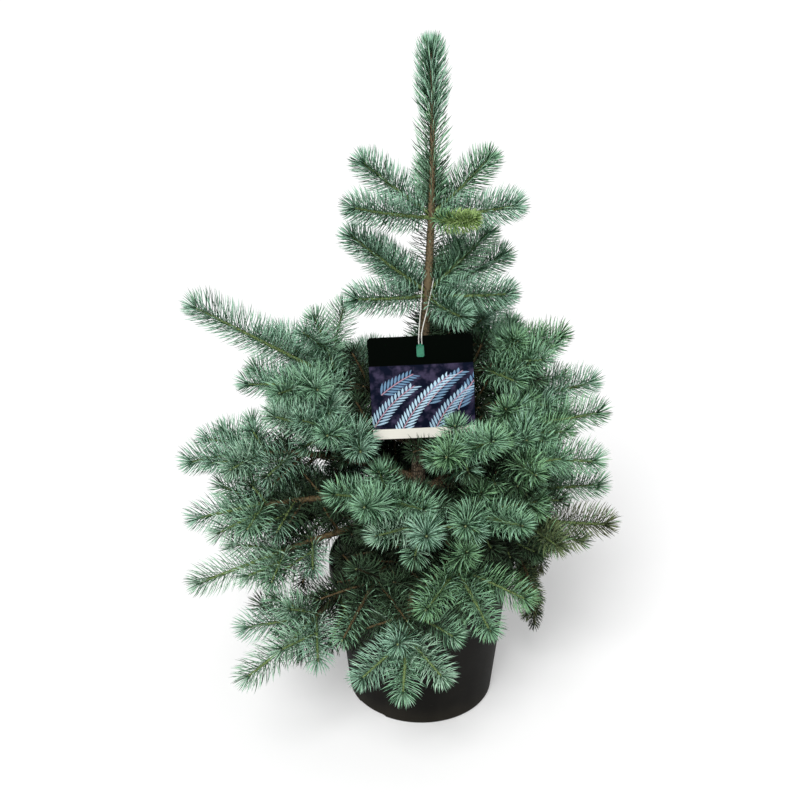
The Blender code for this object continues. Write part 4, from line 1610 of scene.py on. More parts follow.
@dataclass
class Crown:
    """All the foliage: the leader, two whorls and the boughs' sprays.

    A pitch or step is the wished distance between a path's points. The probe sizes tell
    from a mass's solid whether it holds a side shoot. fine and inner sizes are for the
    finer shoots on side shoots and for the shaded ones near the trunk, a slide is how far
    such a shoot may stand from its place, and spare is how far it stays inside its mass.
    """

    trunk: Trunk
    seed: int = 41
    needle_beyond: float = 0.012
    needle_pitch: float = 0.0275
    main_pitch: float = 0.0260
    limb_step: float = 0.026
    branch_shortest: float = 0.040
    branch_jitter: float = 9.0
    length_jitter: float = 0.10
    branch_lift: float = -6.0
    inner_bare: float = 0.25
    whorl_bare: float = 0.010
    short_share: float = 0.8
    probe_back: float = 0.002
    probe_reach: float = 0.003
    probe_least: float = 0.0007
    path_step: float = 0.0040
    fine_pitch: float = 0.012
    fine_shortest: float = 0.026
    fine_extra: float = 0.010
    fine_length: Span = (0.80, 1.0)
    fine_spread: Span = (40, 54)
    fine_lift: Span = (-4, 10)
    fine_slide: float = 0.05
    fine_turn: float = 22
    fine_thin: Span = (0.8, 0.85)
    fine_places: Curve = ((0.34, 4), (0.46, 176), (0.60, -14), (0.24, 92))
    hanging_rise: Span = (-89, -68)
    hanging_length: Span = (0.030, 0.060)
    hanging_spare: float = 0.002
    inner_slide: float = 0.04
    inner_turn: float = 25
    inner_length: Span = (0.034, 0.056)
    inner_spread: Span = (45, 65)
    inner_lift: Span = (-6, 12)
    inner_places: Curve = (
        (0.34, 10), (0.44, 170), (0.55, 80), (0.66, -70), (0.74, 200), (0.84, -20),
    )
    inner_dark_to: float = 0.6
    spare: float = 0.010
    wall_gap: float = 0.006
    tip_needles: float = 0.0045
    whorl_tip: float = 0.002
    stem_root: float = 0.0042
    stem_end: float = 0.0036
    fork_radius: float = 0.0026
    shoot_root: float = 0.0017
    shoot_tip: float = 0.0011
    inner_root: float = 0.0018
    first_whorl: float = 0.579
    spire_top: float = 0.672
    second_whorl: float = 0.4955
    third_whorl: float = 0.395
    over_whorl: Size = (0.010, 0.022, 0.018)
    past_whorl: float = 0.006
    bud: float = 0.001
    wood_bare: float = 0.004
    end_bare: float = 0.002
    wood_steps: int = 6
    limb_steps: int = 5
    stub_skip: int = 3
    relief_seed: Span = (7.3, 3)
    wall_names: tuple[str, ...] = ("pot", "soil", "trunk", "tag", "tag_seal")
    spray: tuple[Branch, ...] = tuple(Branch(*row) for row in (
        (0.98, 8, 46, 0.80), (0.96, 172, 50, 0.76), (0.92, 82, 54, 0.58), (0.88, -78, 40, 0.58),
        (0.56, 188, 58, 0.70), (0.46, -8, 60, 0.66),
    ))
    first_shoots: tuple[WhorlShoot, ...] = tuple(WhorlShoot(*row) for row in (
        (167, 32, 6, 0.098, 0.000), (206, 10, 8, 0.100, 0.003), (14, 39, 6, 0.092, 0.000),
        (343, 10, 6, 0.100, 0.003),
        (300, 8, 12, 0.092, 0.004, (Tint.GREEN,), Kind.YOUNG, Tint.FRESH),
        (92, 20, 8, 0.092, 0.002),
    ))
    second_shoots: tuple[WhorlShoot, ...] = tuple(WhorlShoot(*row) for row in (
        (186, 37, 4, 0.112, 0.000), (207, 3, 8, 0.094, 0.004), (16, 40, 4, 0.098, 0.000),
        (338, 6, 6, 0.100, 0.004), (27, 13, 8, 0.106, 0.002, LEAFY), (66, 14, 8, 0.098, 0.000),
        (132, 16, 8, 0.100, 0.002), (305, -8, 10, 0.070, 0.006),
    ))
    boughs: tuple[Bough, ...] = tuple(Bough(*row) for row in (
        ("left_upper", 0.386, 182, (-14, 30, 30), 0.088, 0.182, 0.142, 0.66, COOL, 2),
        ("right_upper", 0.392, 8, (5, 20, 26), 0.078, 0.090, 0.095, 0.60, LEAFY, 3),
        ("back_right_upper", 0.404, 54, (4, 12, 16), 0.080, 0.088, 0.090, 0.0, COOL, 2),
        ("back_left_upper", 0.362, 136, (2, 10, 16), 0.080, 0.090, 0.090, 0.0, COOL, 2),
        ("front_left_upper", 0.336, 212, (12, 20, 28), 0.096, 0.098, 0.100, 0.50),
        ("left_middle", 0.278, 188, (26, 2, -12), 0.172, 0.090, 0.084, 0.52, COOL, 2),
        ("right_middle", 0.328, 350, (8, 14, 16), 0.088, 0.117, 0.105, 0.58, LEAFY, 3),
        ("right_front", 0.308, 333, (8, 12, 10), 0.096, 0.116, 0.105, 0.54, LEAFY, 3),
        ("front_right_upper", 0.322, 297, (16, 26, 34), 0.092, 0.088, 0.085, 0.58, LEAFY, 0),
        ("back_right_middle", 0.350, 10, (6, 8, 10), 0.092, 0.110, 0.100, 0.52, LEAFY, 3),
        ("back_middle", 0.330, 84, (8, 14, 20), 0.100, 0.110, 0.120, 0.46),
        ("back_left_middle", 0.318, 153, (6, 14, 18), 0.105, 0.117, 0.115, 0.50),
        ("left_lower", 0.257, 199, (10, 1, -6), 0.172, 0.084, 0.090, 0.50, COOL, 1, True),
        ("front_left_middle", 0.268, 249, (14, 20, 26), 0.090, 0.082, 0.100, 0.0, LEAFY, 0),
        ("front_middle", 0.247, 272, (14, 18, 24), 0.096, 0.080, 0.100, 0.0, COOL, 0),
        ("front_right_middle", 0.258, 306, (10, 13, 18), 0.096, 0.090, 0.100, 0.0, LEAFY, 0),
        ("right_lower", 0.268, 346, (3, 7, 12), 0.095, 0.112, 0.105, 0.54, LEAFY, 3),
        ("back_right_lower", 0.256, 48, (4, 6, 12), 0.105, 0.115, 0.120, 0.46),
        ("back_left_lower", 0.250, 112, (4, 6, 10), 0.105, 0.115, 0.120, 0.46),
        ("low_left_front", 0.236, 210, (2, -5, -5), 0.160, 0.112, 0.096, 0.50, PALE, 1, True),
        ("low_front_left", 0.203, 229, (0, -18, -6), 0.166, 0.114, 0.104, 0.46, COOL, 1, True),
        # painted shade: the next bough, low under the front, takes the shaded tints
        ("low_front_corner", 0.222, 246, (0, -14, -20), 0.112, 0.095, 0.115, 0.0, SHADED, 0),
        ("low_front", 0.213, 265, (2, -28, -36), 0.166, 0.072, 0.092, 0.54, PALE, 0),
        ("low_front_right", 0.231, 291, (0, -12, -18), 0.104, 0.100, 0.115, 0.0, LEAFY, 0),
        ("low_right", 0.238, 342, (2, 4, 8), 0.104, 0.114, 0.110, 0.54, MOSSY, 2),
        ("hanging_right", 0.230, 357, (14, -60, -92), 0.118, 0.118, 0.100, 0.45, DULL, 4),
        ("low_left_back", 0.222, 168, (4, -4, -4), 0.122, 0.108, 0.120, 0.54, COOL),
        ("low_back_right", 0.214, 80, (4, -8, -12), 0.115, 0.110, 0.125, 0.46),
        ("low_back_left", 0.208, 130, (4, -10, -14), 0.115, 0.110, 0.125, 0.46),
    ))

    def wood(self, bough: Bough) -> list[Vector]:
        """A bough's wood, from the trunk to the fork.

        Args:
            bough: the bough.

        Returns:
            The path's points.
        """
        rise, fork_rise, _ = bough.rises
        start = self.trunk.start_of_limb(bough.height, bough.azimuth)
        heading = direction(bough.azimuth, rise)
        return curved_path(start, heading, fork_rise - rise, bough.wood, self.limb_step)

    @staticmethod
    def part_of(wood: list[Vector], first: float, last: float, steps: int) -> list[Vector]:
        """Even points along a bough's wood, between two shares of it."""
        return [point_along(wood, first + (last - first) * i / steps)[0] for i in range(steps + 1)]

    def shoot_path(
        self, start: Vector, heading: Vector, lift: float, length: float, pitch: float = 0.0
    ) -> list[Vector]:
        """The path of a shoot whose length counts its last needles."""
        reach = length - self.needle_beyond
        return curved_path(start, heading, lift, reach, pitch or self.needle_pitch)

    def spray_starts(
        self, bough: Bough, wood: list[Vector], draw: random.Random
    ) -> list[tuple[Vector, Vector, float, float]]:
        """The side shoots of a bough by the rule for a spray.

        Args:
            bough: the bough.
            wood: its wood.
            draw: the bough's seeded draw.

        Returns:
            Start, heading, lift and length of each.
        """
        found = []
        for branch in self.spray:
            start, heading = point_along(wood, bough.limb + (1 - bough.limb) * branch.place)
            around = branch.around + draw.uniform(-1, 1) * self.branch_jitter
            spread = branch.spread + draw.uniform(-1, 1) * self.branch_jitter
            share = branch.share * (1 + draw.uniform(-1, 1) * self.length_jitter)
            length = max(self.branch_shortest, bough.side * share)
            found.append((start, side_heading(heading, around, spread), self.branch_lift, length))
        return found

    def grown(
        self, tree: BVHTree, start: Vector, heading: Vector, lift: float, length: float
    ) -> list[Vector] | None:
        """The path that the solid gave a side shoot, which was full, short or none.

        Args:
            tree: the mass's solid.
            start: the shoot's root.
            heading: its heading there.
            lift: its turn upwards.
            length: its full length.

        Returns:
            The path, or None where the solid has no such shoot.
        """
        for share in (1, self.short_share):
            path = self.shoot_path(start, heading, lift, length * share)
            inside = path[-1] + (path[-2] - path[-1]).normalized() * self.probe_back
            depth = tree.find_nearest(inside, self.probe_reach)[3]
            if depth is not None and depth > self.probe_least:
                return path
        return None

    def fine_shoots(
        self, path: list[Vector], bough: Bough, walls: Walls, draw: random.Random
    ) -> list[Shoot]:
        """Finer shoots on a side shoot, inside the mass's own reach.

        Args:
            path: the shoot that carries them.
            bough: the bough.
            walls: what they keep clear of.
            draw: the seeded draw.

        Returns:
            The shoots that found room.
        """
        total = sum((b - a).length for a, b in zip(path, path[1:]))
        found, uniform = [], draw.uniform
        for place, around in self.fine_places[: bough.fine]:
            share = place + uniform(-self.fine_slide, self.fine_slide)
            length = total * (1 - share) * uniform(*self.fine_length) + self.fine_extra
            start, heading = point_along(path, share)
            around += uniform(-self.fine_turn, self.fine_turn)
            turned = side_heading(heading, around, uniform(*self.fine_spread))
            if bough.hangs():
                turned = direction(uniform(0, 360), uniform(*self.hanging_rise))
                length = uniform(*self.hanging_length)
            grown = curved_path(start, turned, uniform(*self.fine_lift), length, self.fine_pitch)
            if length > self.fine_shortest and self.fits(grown, walls, bough):
                thin_root, thin_tip = self.fine_thin
                radii = self.shoot_root * thin_root, self.shoot_tip * thin_tip
                found.append(self.shoot(grown, bough.kinds()[2], bough.tints, *radii))
        return found

    def stem_radius(self, share: "float | np.ndarray") -> "float | np.ndarray":
        """Radius of a bough's wood at a share of it."""
        return self.stem_root + (self.stem_end - self.stem_root) * share

    def fits(self, path: list[Vector], walls: Walls, bough: Bough) -> bool:
        """True if a fine shoot keeps inside its mass and off the walls.

        Args:
            path: the shoot's path.
            walls: solids that it keeps off.
            bough: the bough that carries it.

        Returns:
            True if it fits.
        """
        low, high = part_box(bough.node())
        spare = self.hanging_spare if bough.hangs() else self.spare
        inside = all(low[i] + spare < path[-1][i] < high[i] - spare for i in range(3))
        return inside and walls.clear(path[1:], self.wall_gap)

    def shoot(
        self, path: list[Vector], kind: Kind, tints: tuple[Tint, ...], root: float, tip: float,
        bare: float = 0.005, short: float = 0.0,
    ) -> Shoot:
        """A shoot along a coarse path.

        Args:
            path: the coarse path.
            kind: what it is.
            tints: its tints.
            root: the twig's radius at its root.
            tip: its radius at its tip.
            bare: its length without needles, at the root.
            short: how much of the path's end is left to the needles.

        Returns:
            The shoot.
        """
        fine = smooth_path(path, self.path_step)
        fine = fine[: len(fine) - round(short / self.path_step)]
        return Shoot(fine, root, tip, kind, tints, bare)

    def bough_shoots(self, bough: Bough, number: int, walls: Walls) -> list[Shoot]:
        """Every shoot of a bough's mass.

        Args:
            bough: the bough.
            number: its number, which seeds it.
            walls: what fine shoots keep clear of.

        Returns:
            The shoots.
        """
        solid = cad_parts[bough.node()].data
        tree = BVHTree.FromPolygons(
            [v.co for v in solid.vertices], [tuple(f.vertices) for f in solid.polygons]
        )
        wood, short = self.wood(bough), 0.0 if bough.hangs() else self.tip_needles
        end_kind, side_kind, _ = bough.kinds()
        _, fork_rise, tip_rise = bough.rises
        heading = direction(bough.azimuth, fork_rise)
        end = self.shoot_path(wood[-1], heading, tip_rise - fork_rise, bough.tip, self.main_pitch)
        inner = self.part_of(wood, bough.limb, 1, self.wood_steps)
        bare = self.wood_bare if bough.limb else bough.wood * self.inner_bare
        root, fork, tip = self.stem_radius(bough.limb), self.fork_radius, self.shoot_tip
        shoots = [
            # painted shade: the wood's own shoot, inside the crown, takes the dark tints
            self.shoot(inner, Kind.WOOD, DULL if bough.hangs() else DARK, root, fork, bare),
            self.shoot(end, end_kind, bough.tints, fork, tip, self.end_bare, short),
        ]
        draw = random.Random(self.seed + number)
        if bough.hangs():
            shoots += self.fine_shoots(end, bough, walls, random.Random(number))
        for start, heading, lift, length in self.spray_starts(bough, wood, draw):
            path = self.grown(tree, start, heading, lift, length)
            if path is not None:
                shoots.append(
                    self.shoot(path, side_kind, bough.tints, self.shoot_root, tip, short=short)
                )
                shoots += self.fine_shoots(path, bough, walls, draw)
        return shoots + self.inner_shoots(wood, bough, walls, draw)

    def inner_shoots(
        self, wood: list[Vector], bough: Bough, walls: Walls, draw: random.Random
    ) -> list[Shoot]:
        """Short shaded shoots on the older wood, nearer the trunk.

        Args:
            wood: the bough's wood.
            bough: the bough.
            walls: what they keep clear of.
            draw: the seeded draw.

        Returns:
            The shoots that found room.
        """
        found, uniform = [], draw.uniform
        for place, around in self.inner_places:
            slide = uniform(-self.inner_slide, self.inner_slide)
            start, heading = point_along(wood, place + slide)
            around += uniform(-self.inner_turn, self.inner_turn)
            turned = side_heading(heading, around, uniform(*self.inner_spread))
            length = uniform(*self.inner_length)
            path = curved_path(start, turned, uniform(*self.inner_lift), length, self.fine_pitch)
            if walls.clear(path[1:], self.wall_gap):
                # painted shade: shoots nearer the trunk take the darkest tints
                tints = DARK if place < self.inner_dark_to else SHADED
                radii = self.inner_root, self.shoot_tip
                found.append(self.shoot(path, Kind.INNER, tints, *radii, self.wood_bare))
        return found

    def whorl_shoots(self, whorl: float, plan: Sequence[WhorlShoot]) -> list[Shoot]:
        """The one-year shoots of a whorl on the trunk.

        Args:
            whorl: height of the whorl.
            plan: its shoots.

        Returns:
            The shoots.
        """
        found = []
        for one in plan:
            start = self.trunk.middle(whorl - one.drop)
            path = self.shoot_path(start, direction(one.azimuth, one.rise), one.lift, one.length)
            made = self.shoot(
                path, one.kind, one.tints, self.fork_radius, self.shoot_tip, self.whorl_bare,
                self.whorl_tip,
            )
            made.tip_tint = one.tip_tint
            found.append(made)
        return found

    def stem_shoot(self, first: float, last: float, kind: Kind, tints: tuple[Tint, ...]) -> Shoot:
        """The needles that stand on a stretch of the trunk."""
        path, radii = self.trunk.stretch(first, last, self.path_step)
        return Shoot(path, radii[0], radii[-1], kind, tints, 0.0)

    def limb_bark(self) -> None:
        """Makes the bare limbs' bark and the stubs of fallen needles on them."""
        bm, stubs = bmesh.new(), Arrays()
        growth = Needles(Walls(["tag_seal"]), self.seed)
        names = []
        for number, bough in enumerate(self.boughs):
            if not bough.limb:
                continue
            coarse = self.part_of(self.wood(bough), 0, bough.limb, self.limb_steps)
            path = smooth_path(coarse, self.trunk.ring_step)
            radii = self.stem_radius(np.linspace(0, bough.limb, len(path)))
            seed = self.relief_seed[0] * number + self.relief_seed[1]
            self.trunk.swept(bm, path, radii, self.trunk.limb_sides, seed)
            ends, along = (radii[0], radii[-1]), path[:: self.stub_skip]
            growth.grow(Shoot(along, *ends, Kind.STUB, (Tint.OLD,), self.wood_bare), stubs)
            names.append("bough_" + bough.name)
        bmesh.ops.recalc_face_normals(bm, faces=bm.faces)
        add_piece("limb_bark", mesh_from(bm, "limb_bark", LIMB_BARK), names)
        stubs.marks = [np.zeros_like(mark) for mark in stubs.marks]
        add_piece("needle_stubs", stubs.mesh("needle_stubs", [Skin.BROWN.value]))

    def build(self) -> None:
        """Makes the limbs' bark, and the needles and twigs of every mass."""
        self.limb_bark()
        walls = Walls(self.wall_names)
        growth, wood = Needles(walls, self.seed), Twigs()
        stem, first, second = self.stem_shoot, self.first_whorl, self.second_whorl
        over_first, over_second, over_third = self.over_whorl
        plan = {
            # painted shade: the needles on the trunk itself take shade tints
            "leader": [
                stem(first + over_first, self.spire_top, Kind.SPIRE, (Tint.DEEP, Tint.SEA)),
                stem(self.spire_top, self.trunk.tip - self.bud, Kind.LEADER, LEAFY),
            ],
            "first_whorl": [
                stem(second + over_second, first + self.past_whorl, Kind.STEM, SHADED),
                *self.whorl_shoots(first, self.first_shoots),
            ],
            "second_whorl": [
                stem(self.third_whorl + over_third, second + self.past_whorl, Kind.STEM, DARK),
                *self.whorl_shoots(second, self.second_shoots),
            ],
        }
        for number, bough in enumerate(self.boughs):
            plan["foliage_" + bough.name] = self.bough_shoots(bough, number, walls)
        sky = Sky(plan)
        count = 0
        for name, shoots in plan.items():
            sky.shine(shoots)
            needles, twigs = Arrays(), Arrays()
            for shoot in shoots:
                count += growth.grow(shoot, needles)
                if shoot.kind not in (Kind.LEADER, Kind.SPIRE, Kind.STEM):
                    wood.grow(shoot, twigs)
            short = name.replace("foliage_", "")
            add_piece(f"needles_{short}", needles.mesh(short, NEEDLE_FINISHES), [name])
            if twigs.count:
                add_piece(f"twigs_{short}", twigs.mesh(short + " twigs", SKINS))
        LOG.info("%d needles", count)


# ---- pot and soil


@dataclass
class Pot:
    """The round nursery pot: tapered wall, thick lip, flat floor with holes and slots.

    A curve is (out, up) points off a corner: the neck's, the lip's under and upper one,
    and the inner wall's upper one.
    """

    height: float = 0.175
    foot_radius: float = 0.0838
    neck_radius: float = 0.100
    lip_radius: float = 0.106
    lip_height: float = 0.017
    wall: float = 0.0016
    floor: float = 0.003
    edge_round: float = 0.005
    segments: int = 128
    slot_azimuths: Span = (46, 226)
    slot_width: float = 0.042
    slot_depth: float = 0.010
    slot_height: float = 0.0045
    holes: int = 4
    hole_radius: float = 0.007
    hole_out: float = 0.048
    slot_round: float = 0.0035
    inside_round: float = 0.002
    neck_curve: Curve = ((-0.0004, -0.003), (0.0006, -0.0008))
    lip_under: Curve = ((-0.0016, 0), (-0.0005, 0.0005), (-0.0001, 0.0016))
    lip_top: Curve = ((0, -0.0024), (-0.0004, -0.0009), (-0.0013, -0.0001), (-0.0024, 0))
    lip_inside: Curve = ((0.0012, -0.0003), (0, -0.0016))

    def profile(self) -> list[Span]:
        """The wall's outline as (radius, height) points, from the axis round to the axis.

        Returns:
            The points.
        """
        under, top, edge = self.height - self.lip_height, self.height, self.edge_round
        neck, inner, foot = self.neck_radius, self.neck_radius - self.wall, self.foot_radius
        turns = [math.radians(a) for a in (0, 18, 36, 54, 72, 90)]
        arc = [(foot - edge * (1 - math.sin(t)), edge * (1 - math.cos(t))) for t in turns]
        curves = (
            (neck, under, self.neck_curve), (self.lip_radius, under, self.lip_under),
            (self.lip_radius, top, self.lip_top), (inner, top, self.lip_inside),
        )
        lip = [(radius + a, height + b) for radius, height, curve in curves for a, b in curve]
        foot -= self.wall
        return [
            (0, 0), *arc, *lip, (inner, under), (foot, self.floor + self.inside_round),
            (foot - self.inside_round, self.floor), (0, self.floor),
        ]

    def build(self) -> None:
        """Makes the pot and cuts its drains."""
        shell = mesh_from(spun(self.profile(), self.segments), "pot shell")
        bm = bmesh.new()
        bm.from_mesh(cut(shell, self.drains()))
        add_piece("pot_shell", mesh_from(bm, "pot_shell", PotFinish()), ["pot"])

    def drains(self) -> Mesh:
        """The slots through the foot and the holes through the floor, as a cutter.

        Returns:
            The cutter.
        """
        bm = bmesh.new()
        for azimuth in self.slot_azimuths:
            turn = Matrix.Rotation(math.radians(azimuth), 4, "Z")
            place = Matrix.Translation((self.foot_radius, 0, 0))
            size = Matrix.Diagonal((self.slot_depth * 2, self.slot_width, self.slot_height * 2, 1))
            made = bmesh.ops.create_cube(bm, size=1, matrix=turn @ place @ size)["verts"]
            ends = {
                e for v in made for e in v.link_edges
                if all(p.co.z > 0 for p in e.verts)
                and abs(e.calc_length() - self.slot_depth * 2) < 1e-4
            }
            round_edges(bm, ends, self.slot_round, 4)
        for i in range(self.holes):
            turn = Matrix.Rotation(math.tau * i / self.holes, 4, "Z")
            place = turn @ Matrix.Translation((self.hole_out, 0, 0))
            add_rod(bm, (self.hole_radius, self.hole_radius), 4 * self.floor, place)
        return mesh_from(bm, "drains")


@dataclass
class Soil:
    """Potting peat with chips of bark on it."""

    pot: Pot
    level: float = 0.155
    collar: float = 0.017
    uneven: float = 0.0022
    rings: int = 34
    segments: int = 110
    over_floor: float = 0.006
    foot_inset: float = 0.010
    edge_drop: float = 0.003
    collar_blend: float = 0.008
    lump_cells: float = 70
    lump_layer: float = 3.7
    lump_fractal: tuple[float, float, int] = (0.7, 2.2, 5)
    lump_share: float = 0.7
    chips: int = 520
    chip_least: Size = (0.0016, 0.0010, 0.0004)
    chip_most: Size = (0.0052, 0.0026, 0.0011)
    chip_rise: float = 0.0008
    chip_shape: Span = (0.72, 1.12)
    chip_tilt: Span = (0.22, 0.18)
    chips_from: float = 0.020
    chips_to: float = 0.92
    seed: int = 7
    finish: SoilFinish = SoilFinish(
        "potting peat", (0.0085, 0.0055, 0.0035), (0.042, 0.027, 0.017), (0.135, 0.110, 0.080)
    )
    chip_finish: SoilFinish = SoilFinish(
        "bark chips", (0.030, 0.018, 0.010), (0.105, 0.062, 0.034), (0.180, 0.130, 0.085)
    )

    def inside_radius(self, height: float) -> float:
        """Radius of the pot's inner wall at a height.

        Args:
            height: height over the floor.

        Returns:
            The radius.
        """
        pot = self.pot
        share = min(1, height / (pot.height - pot.lip_height))
        return pot.foot_radius + (pot.neck_radius - pot.foot_radius) * share - pot.wall

    def top_at(self, x: float, y: float) -> float:
        """Height of the uneven top.

        Args:
            x: place along X.
            y: place along Y.

        Returns:
            The height.
        """
        out = math.hypot(x, y)
        if out < self.collar:
            return self.level
        edge = min(1.0, (out - self.collar) / self.collar_blend)
        place = Vector((x * self.lump_cells, y * self.lump_cells, self.lump_layer))
        lumps = noise.fractal(place, *self.lump_fractal) * self.lump_share
        return self.level - edge * self.uneven * min(1.0, max(0.0, 0.5 + lumps))

    def build(self) -> None:
        """Makes the soil's body and the chips."""
        spare = 3 * CLEARANCE
        foot = self.pot.floor + self.over_floor
        rim = self.inside_radius(self.level) - spare
        outline = [
            (0, foot), (self.inside_radius(foot) - self.foot_inset, foot),
            (self.inside_radius(foot * 3) - spare, foot * 3), (rim, self.level - self.edge_drop),
        ]
        outline += [(rim * (1 - i / self.rings), self.level) for i in range(1, self.rings + 1)]
        bm = spun(outline, self.segments)
        for vertex in bm.verts:
            if vertex.co.z > self.level - 0.001:
                vertex.co.z = self.top_at(vertex.co.x, vertex.co.y)
        add_piece("soil_bed", mesh_from(bm, "soil_bed", self.finish), ["soil"])
        self.lay_chips(rim)

    def lay_chips(self, rim: float) -> None:
        """Scatters flat bark chips over the top.

        Args:
            rim: how far out they may lie.
        """
        draw = np.random.default_rng(self.seed)
        arrays = Arrays()
        square = ((-1, -1), (1, -1), (1, 1), (-1, 1))
        corners = np.array([(x, y, z) for z in (-1, 1) for x, y in square], float)
        faces = np.array([
            (3, 2, 1, 0), (4, 5, 6, 7), (0, 1, 5, 4), (1, 2, 6, 5), (2, 3, 7, 6), (3, 0, 4, 7),
        ])
        for _ in range(self.chips):
            out = math.sqrt(draw.uniform((self.chips_from / rim) ** 2, self.chips_to)) * rim
            turn = draw.uniform(0, math.tau)
            x, y = out * math.cos(turn), out * math.sin(turn)
            size = draw.uniform(self.chip_least, self.chip_most)
            shape = corners * size * draw.uniform(*self.chip_shape, (8, 3))
            tilt = Matrix.Rotation(draw.uniform(0, math.tau), 3, "Z")
            for spread, axis in zip(self.chip_tilt, "XY"):
                tilt = tilt @ Matrix.Rotation(draw.normal(0, spread), 3, axis)
            shape = shape @ np.array(tilt).T + (x, y, self.top_at(x, y) + self.chip_rise)
            arrays.add(shape, faces, 0)
        add_piece("soil_chips", arrays.mesh("soil_chips", [self.chip_finish]))


# ---- hang tag


@dataclass
class HangTag:
    """The plastic card, its seal and the loop of twine round the trunk."""

    trunk: Trunk
    width: float = 0.108
    height: float = 0.116
    thickness: float = 0.0009
    centre: Vector = field(default_factory=lambda: Vector((-0.0015, -0.047, 0.4075)))
    turn: float = 3.0
    corner: float = 0.004
    bow: float = 0.00056
    seal_size: Size = (0.0078, 0.0034, 0.0125)
    seal_from_top: float = 0.0155
    seal_corner: float = 0.0018
    seal_edge: float = 0.0005
    panel_inset: float = 0.0013
    panel_depth: float = 0.0004
    collar: Span = (0.0021, 0.0017)
    collar_length: float = 0.0016
    sharp_angle: float = 1.2
    sharp_length: float = 0.002
    pin_sunk: float = 0.0005
    pin_past: float = 0.0006
    button_length: float = 0.0012
    rod_taper: float = 0.96
    collar_rise: float = 0.0004
    grid: int = 16
    pin_radius: float = 0.0012
    button_radius: float = 0.0026
    string_radius: float = 0.0006
    ply_share: float = 0.52
    string_height: float = 0.5085
    string_apart: float = 0.0015
    string_over: float = 0.005
    string_sag: float = 0.0015
    ply_pitch: float = 0.0030

    def turned(self) -> Matrix:
        """The card's turn in its own plane."""
        return Matrix.Rotation(math.radians(-self.turn), 4, "Y")

    def place(self) -> Matrix:
        """Place and turn of the card: its face looks to -Y."""
        return Matrix.Translation(self.centre) @ self.turned()

    def seal_centre(self) -> Vector:
        """Middle of the seal, on the card's face near its top edge."""
        front = -self.thickness / 2 - CLEARANCE - self.seal_size[1] / 2
        return self.place() @ Vector((0, front, self.height / 2 - self.seal_from_top))

    def build_card(self) -> None:
        """Makes the card: round corners, fine edges, a slight bow and the pin's hole."""
        bm = bmesh.new()
        size = Matrix.Diagonal((self.width, self.thickness, self.height, 1))
        bmesh.ops.create_cube(bm, size=1, matrix=size)
        round_edges(bm, edges_through(bm, self.thickness / 2), self.corner, 8)
        for i in range(1, self.grid):
            for axis, span in ((0, self.width), (2, self.height)):
                plane = Vector([span * (i / self.grid - 0.5) if a == axis else 0 for a in range(3)])
                normal = Vector([float(a == axis) for a in range(3)])
                whole = bm.verts[:] + bm.edges[:] + bm.faces[:]
                bmesh.ops.bisect_plane(bm, geom=whole, plane_co=plane, plane_no=normal)
        layer = bm.loops.layers.uv.new("card")
        for face in bm.faces:
            face.material_index = 1 if face.normal.y > 0.9 else 0
            for loop in face.loops:
                x, z = loop.vert.co.x / self.width, loop.vert.co.z / self.height
                loop[layer].uv = (x + 0.5, z + 0.5)
        for vertex in bm.verts:
            vertex.co.y += self.bow * ((2 * vertex.co.x / self.width) ** 2 - 0.5)
        bmesh.ops.transform(bm, matrix=self.place(), verts=bm.verts)
        mesh = mesh_from(bm, "tag_card", PrintFinish(), CARD_PLASTIC)
        hole, radius = bmesh.new(), self.pin_radius + CLEARANCE
        add_rod(hole, (radius, radius), 0.01, Matrix.Translation(self.seal_centre()) @ QUARTER)
        card = cut(mesh, mesh_from(hole, "hole", CARD_PLASTIC))
        add_piece("tag_card", card, ["tag"])

    def build_seal(self) -> None:
        """Makes the seal: a bevelled block with a sunk panel, its collar, pin and button."""
        place = Matrix.Translation(self.seal_centre()) @ self.turned()
        bm = bmesh.new()
        bmesh.ops.create_cube(bm, size=1, matrix=Matrix.Diagonal((*self.seal_size, 1)))
        round_edges(bm, edges_through(bm, 0.001), self.seal_corner, 4)
        front = min(bm.faces, key=lambda face: face.calc_center_median().y)
        bmesh.ops.inset_region(
            bm, faces=[front], thickness=self.panel_inset, depth=-self.panel_depth
        )
        sharp = [
            e for e in bm.edges
            if e.calc_length() > self.sharp_length and len(e.link_faces) == 2
            and e.calc_face_angle() > self.sharp_angle
        ]
        round_edges(bm, sharp, self.seal_edge, 3, clamped=True)
        back = self.seal_size[1] / 2 + self.thickness + 2 * CLEARANCE
        for radius, start, end in (
            (self.pin_radius, self.seal_size[1] / 2 - self.pin_sunk, back + self.pin_past),
            (self.button_radius, back, back + self.button_length),
        ):
            middle = Matrix.Translation((0, (start + end) / 2, 0)) @ QUARTER
            add_rod(bm, (radius, radius * self.rod_taper), end - start, middle)
        top = Matrix.Translation((0, 0, self.seal_size[2] / 2 + self.collar_rise))
        add_rod(bm, self.collar, self.collar_length, top, 20)
        bmesh.ops.transform(bm, matrix=place, verts=bm.verts)
        add_piece("seal_clip", mesh_from(bm, "seal_clip", SEAL_PLASTIC), ["tag_seal"])

    def string_path(self) -> list[Vector]:
        """The loop's points: up from the seal, over the card, round the trunk and back.

        Returns:
            The points.
        """
        hold = self.seal_centre() + UP * (self.seal_size[2] / 2 + self.string_radius + CLEARANCE)
        over = Vector((hold.x, hold.y, self.centre.z + self.height / 2 + self.string_over))
        trunk = self.trunk.middle(self.string_height)
        reach = self.trunk.radius(self.string_height) + self.string_radius + 2 * CLEARANCE
        turns = [math.pi * i / 8 for i in range(9)]
        arc = [trunk + Vector((math.cos(t) * reach, math.sin(t) * reach, 0)) for t in turns]
        apart = Vector((self.string_apart, 0, 0))
        legs = []
        for side, end in ((apart, arc[0]), (-apart, arc[-1])):
            middle = (over + side).lerp(end, 0.5) - UP * self.string_sag
            legs.append([hold + side, over + side, middle])
        return [*legs[0], *arc, *legs[1][::-1]]

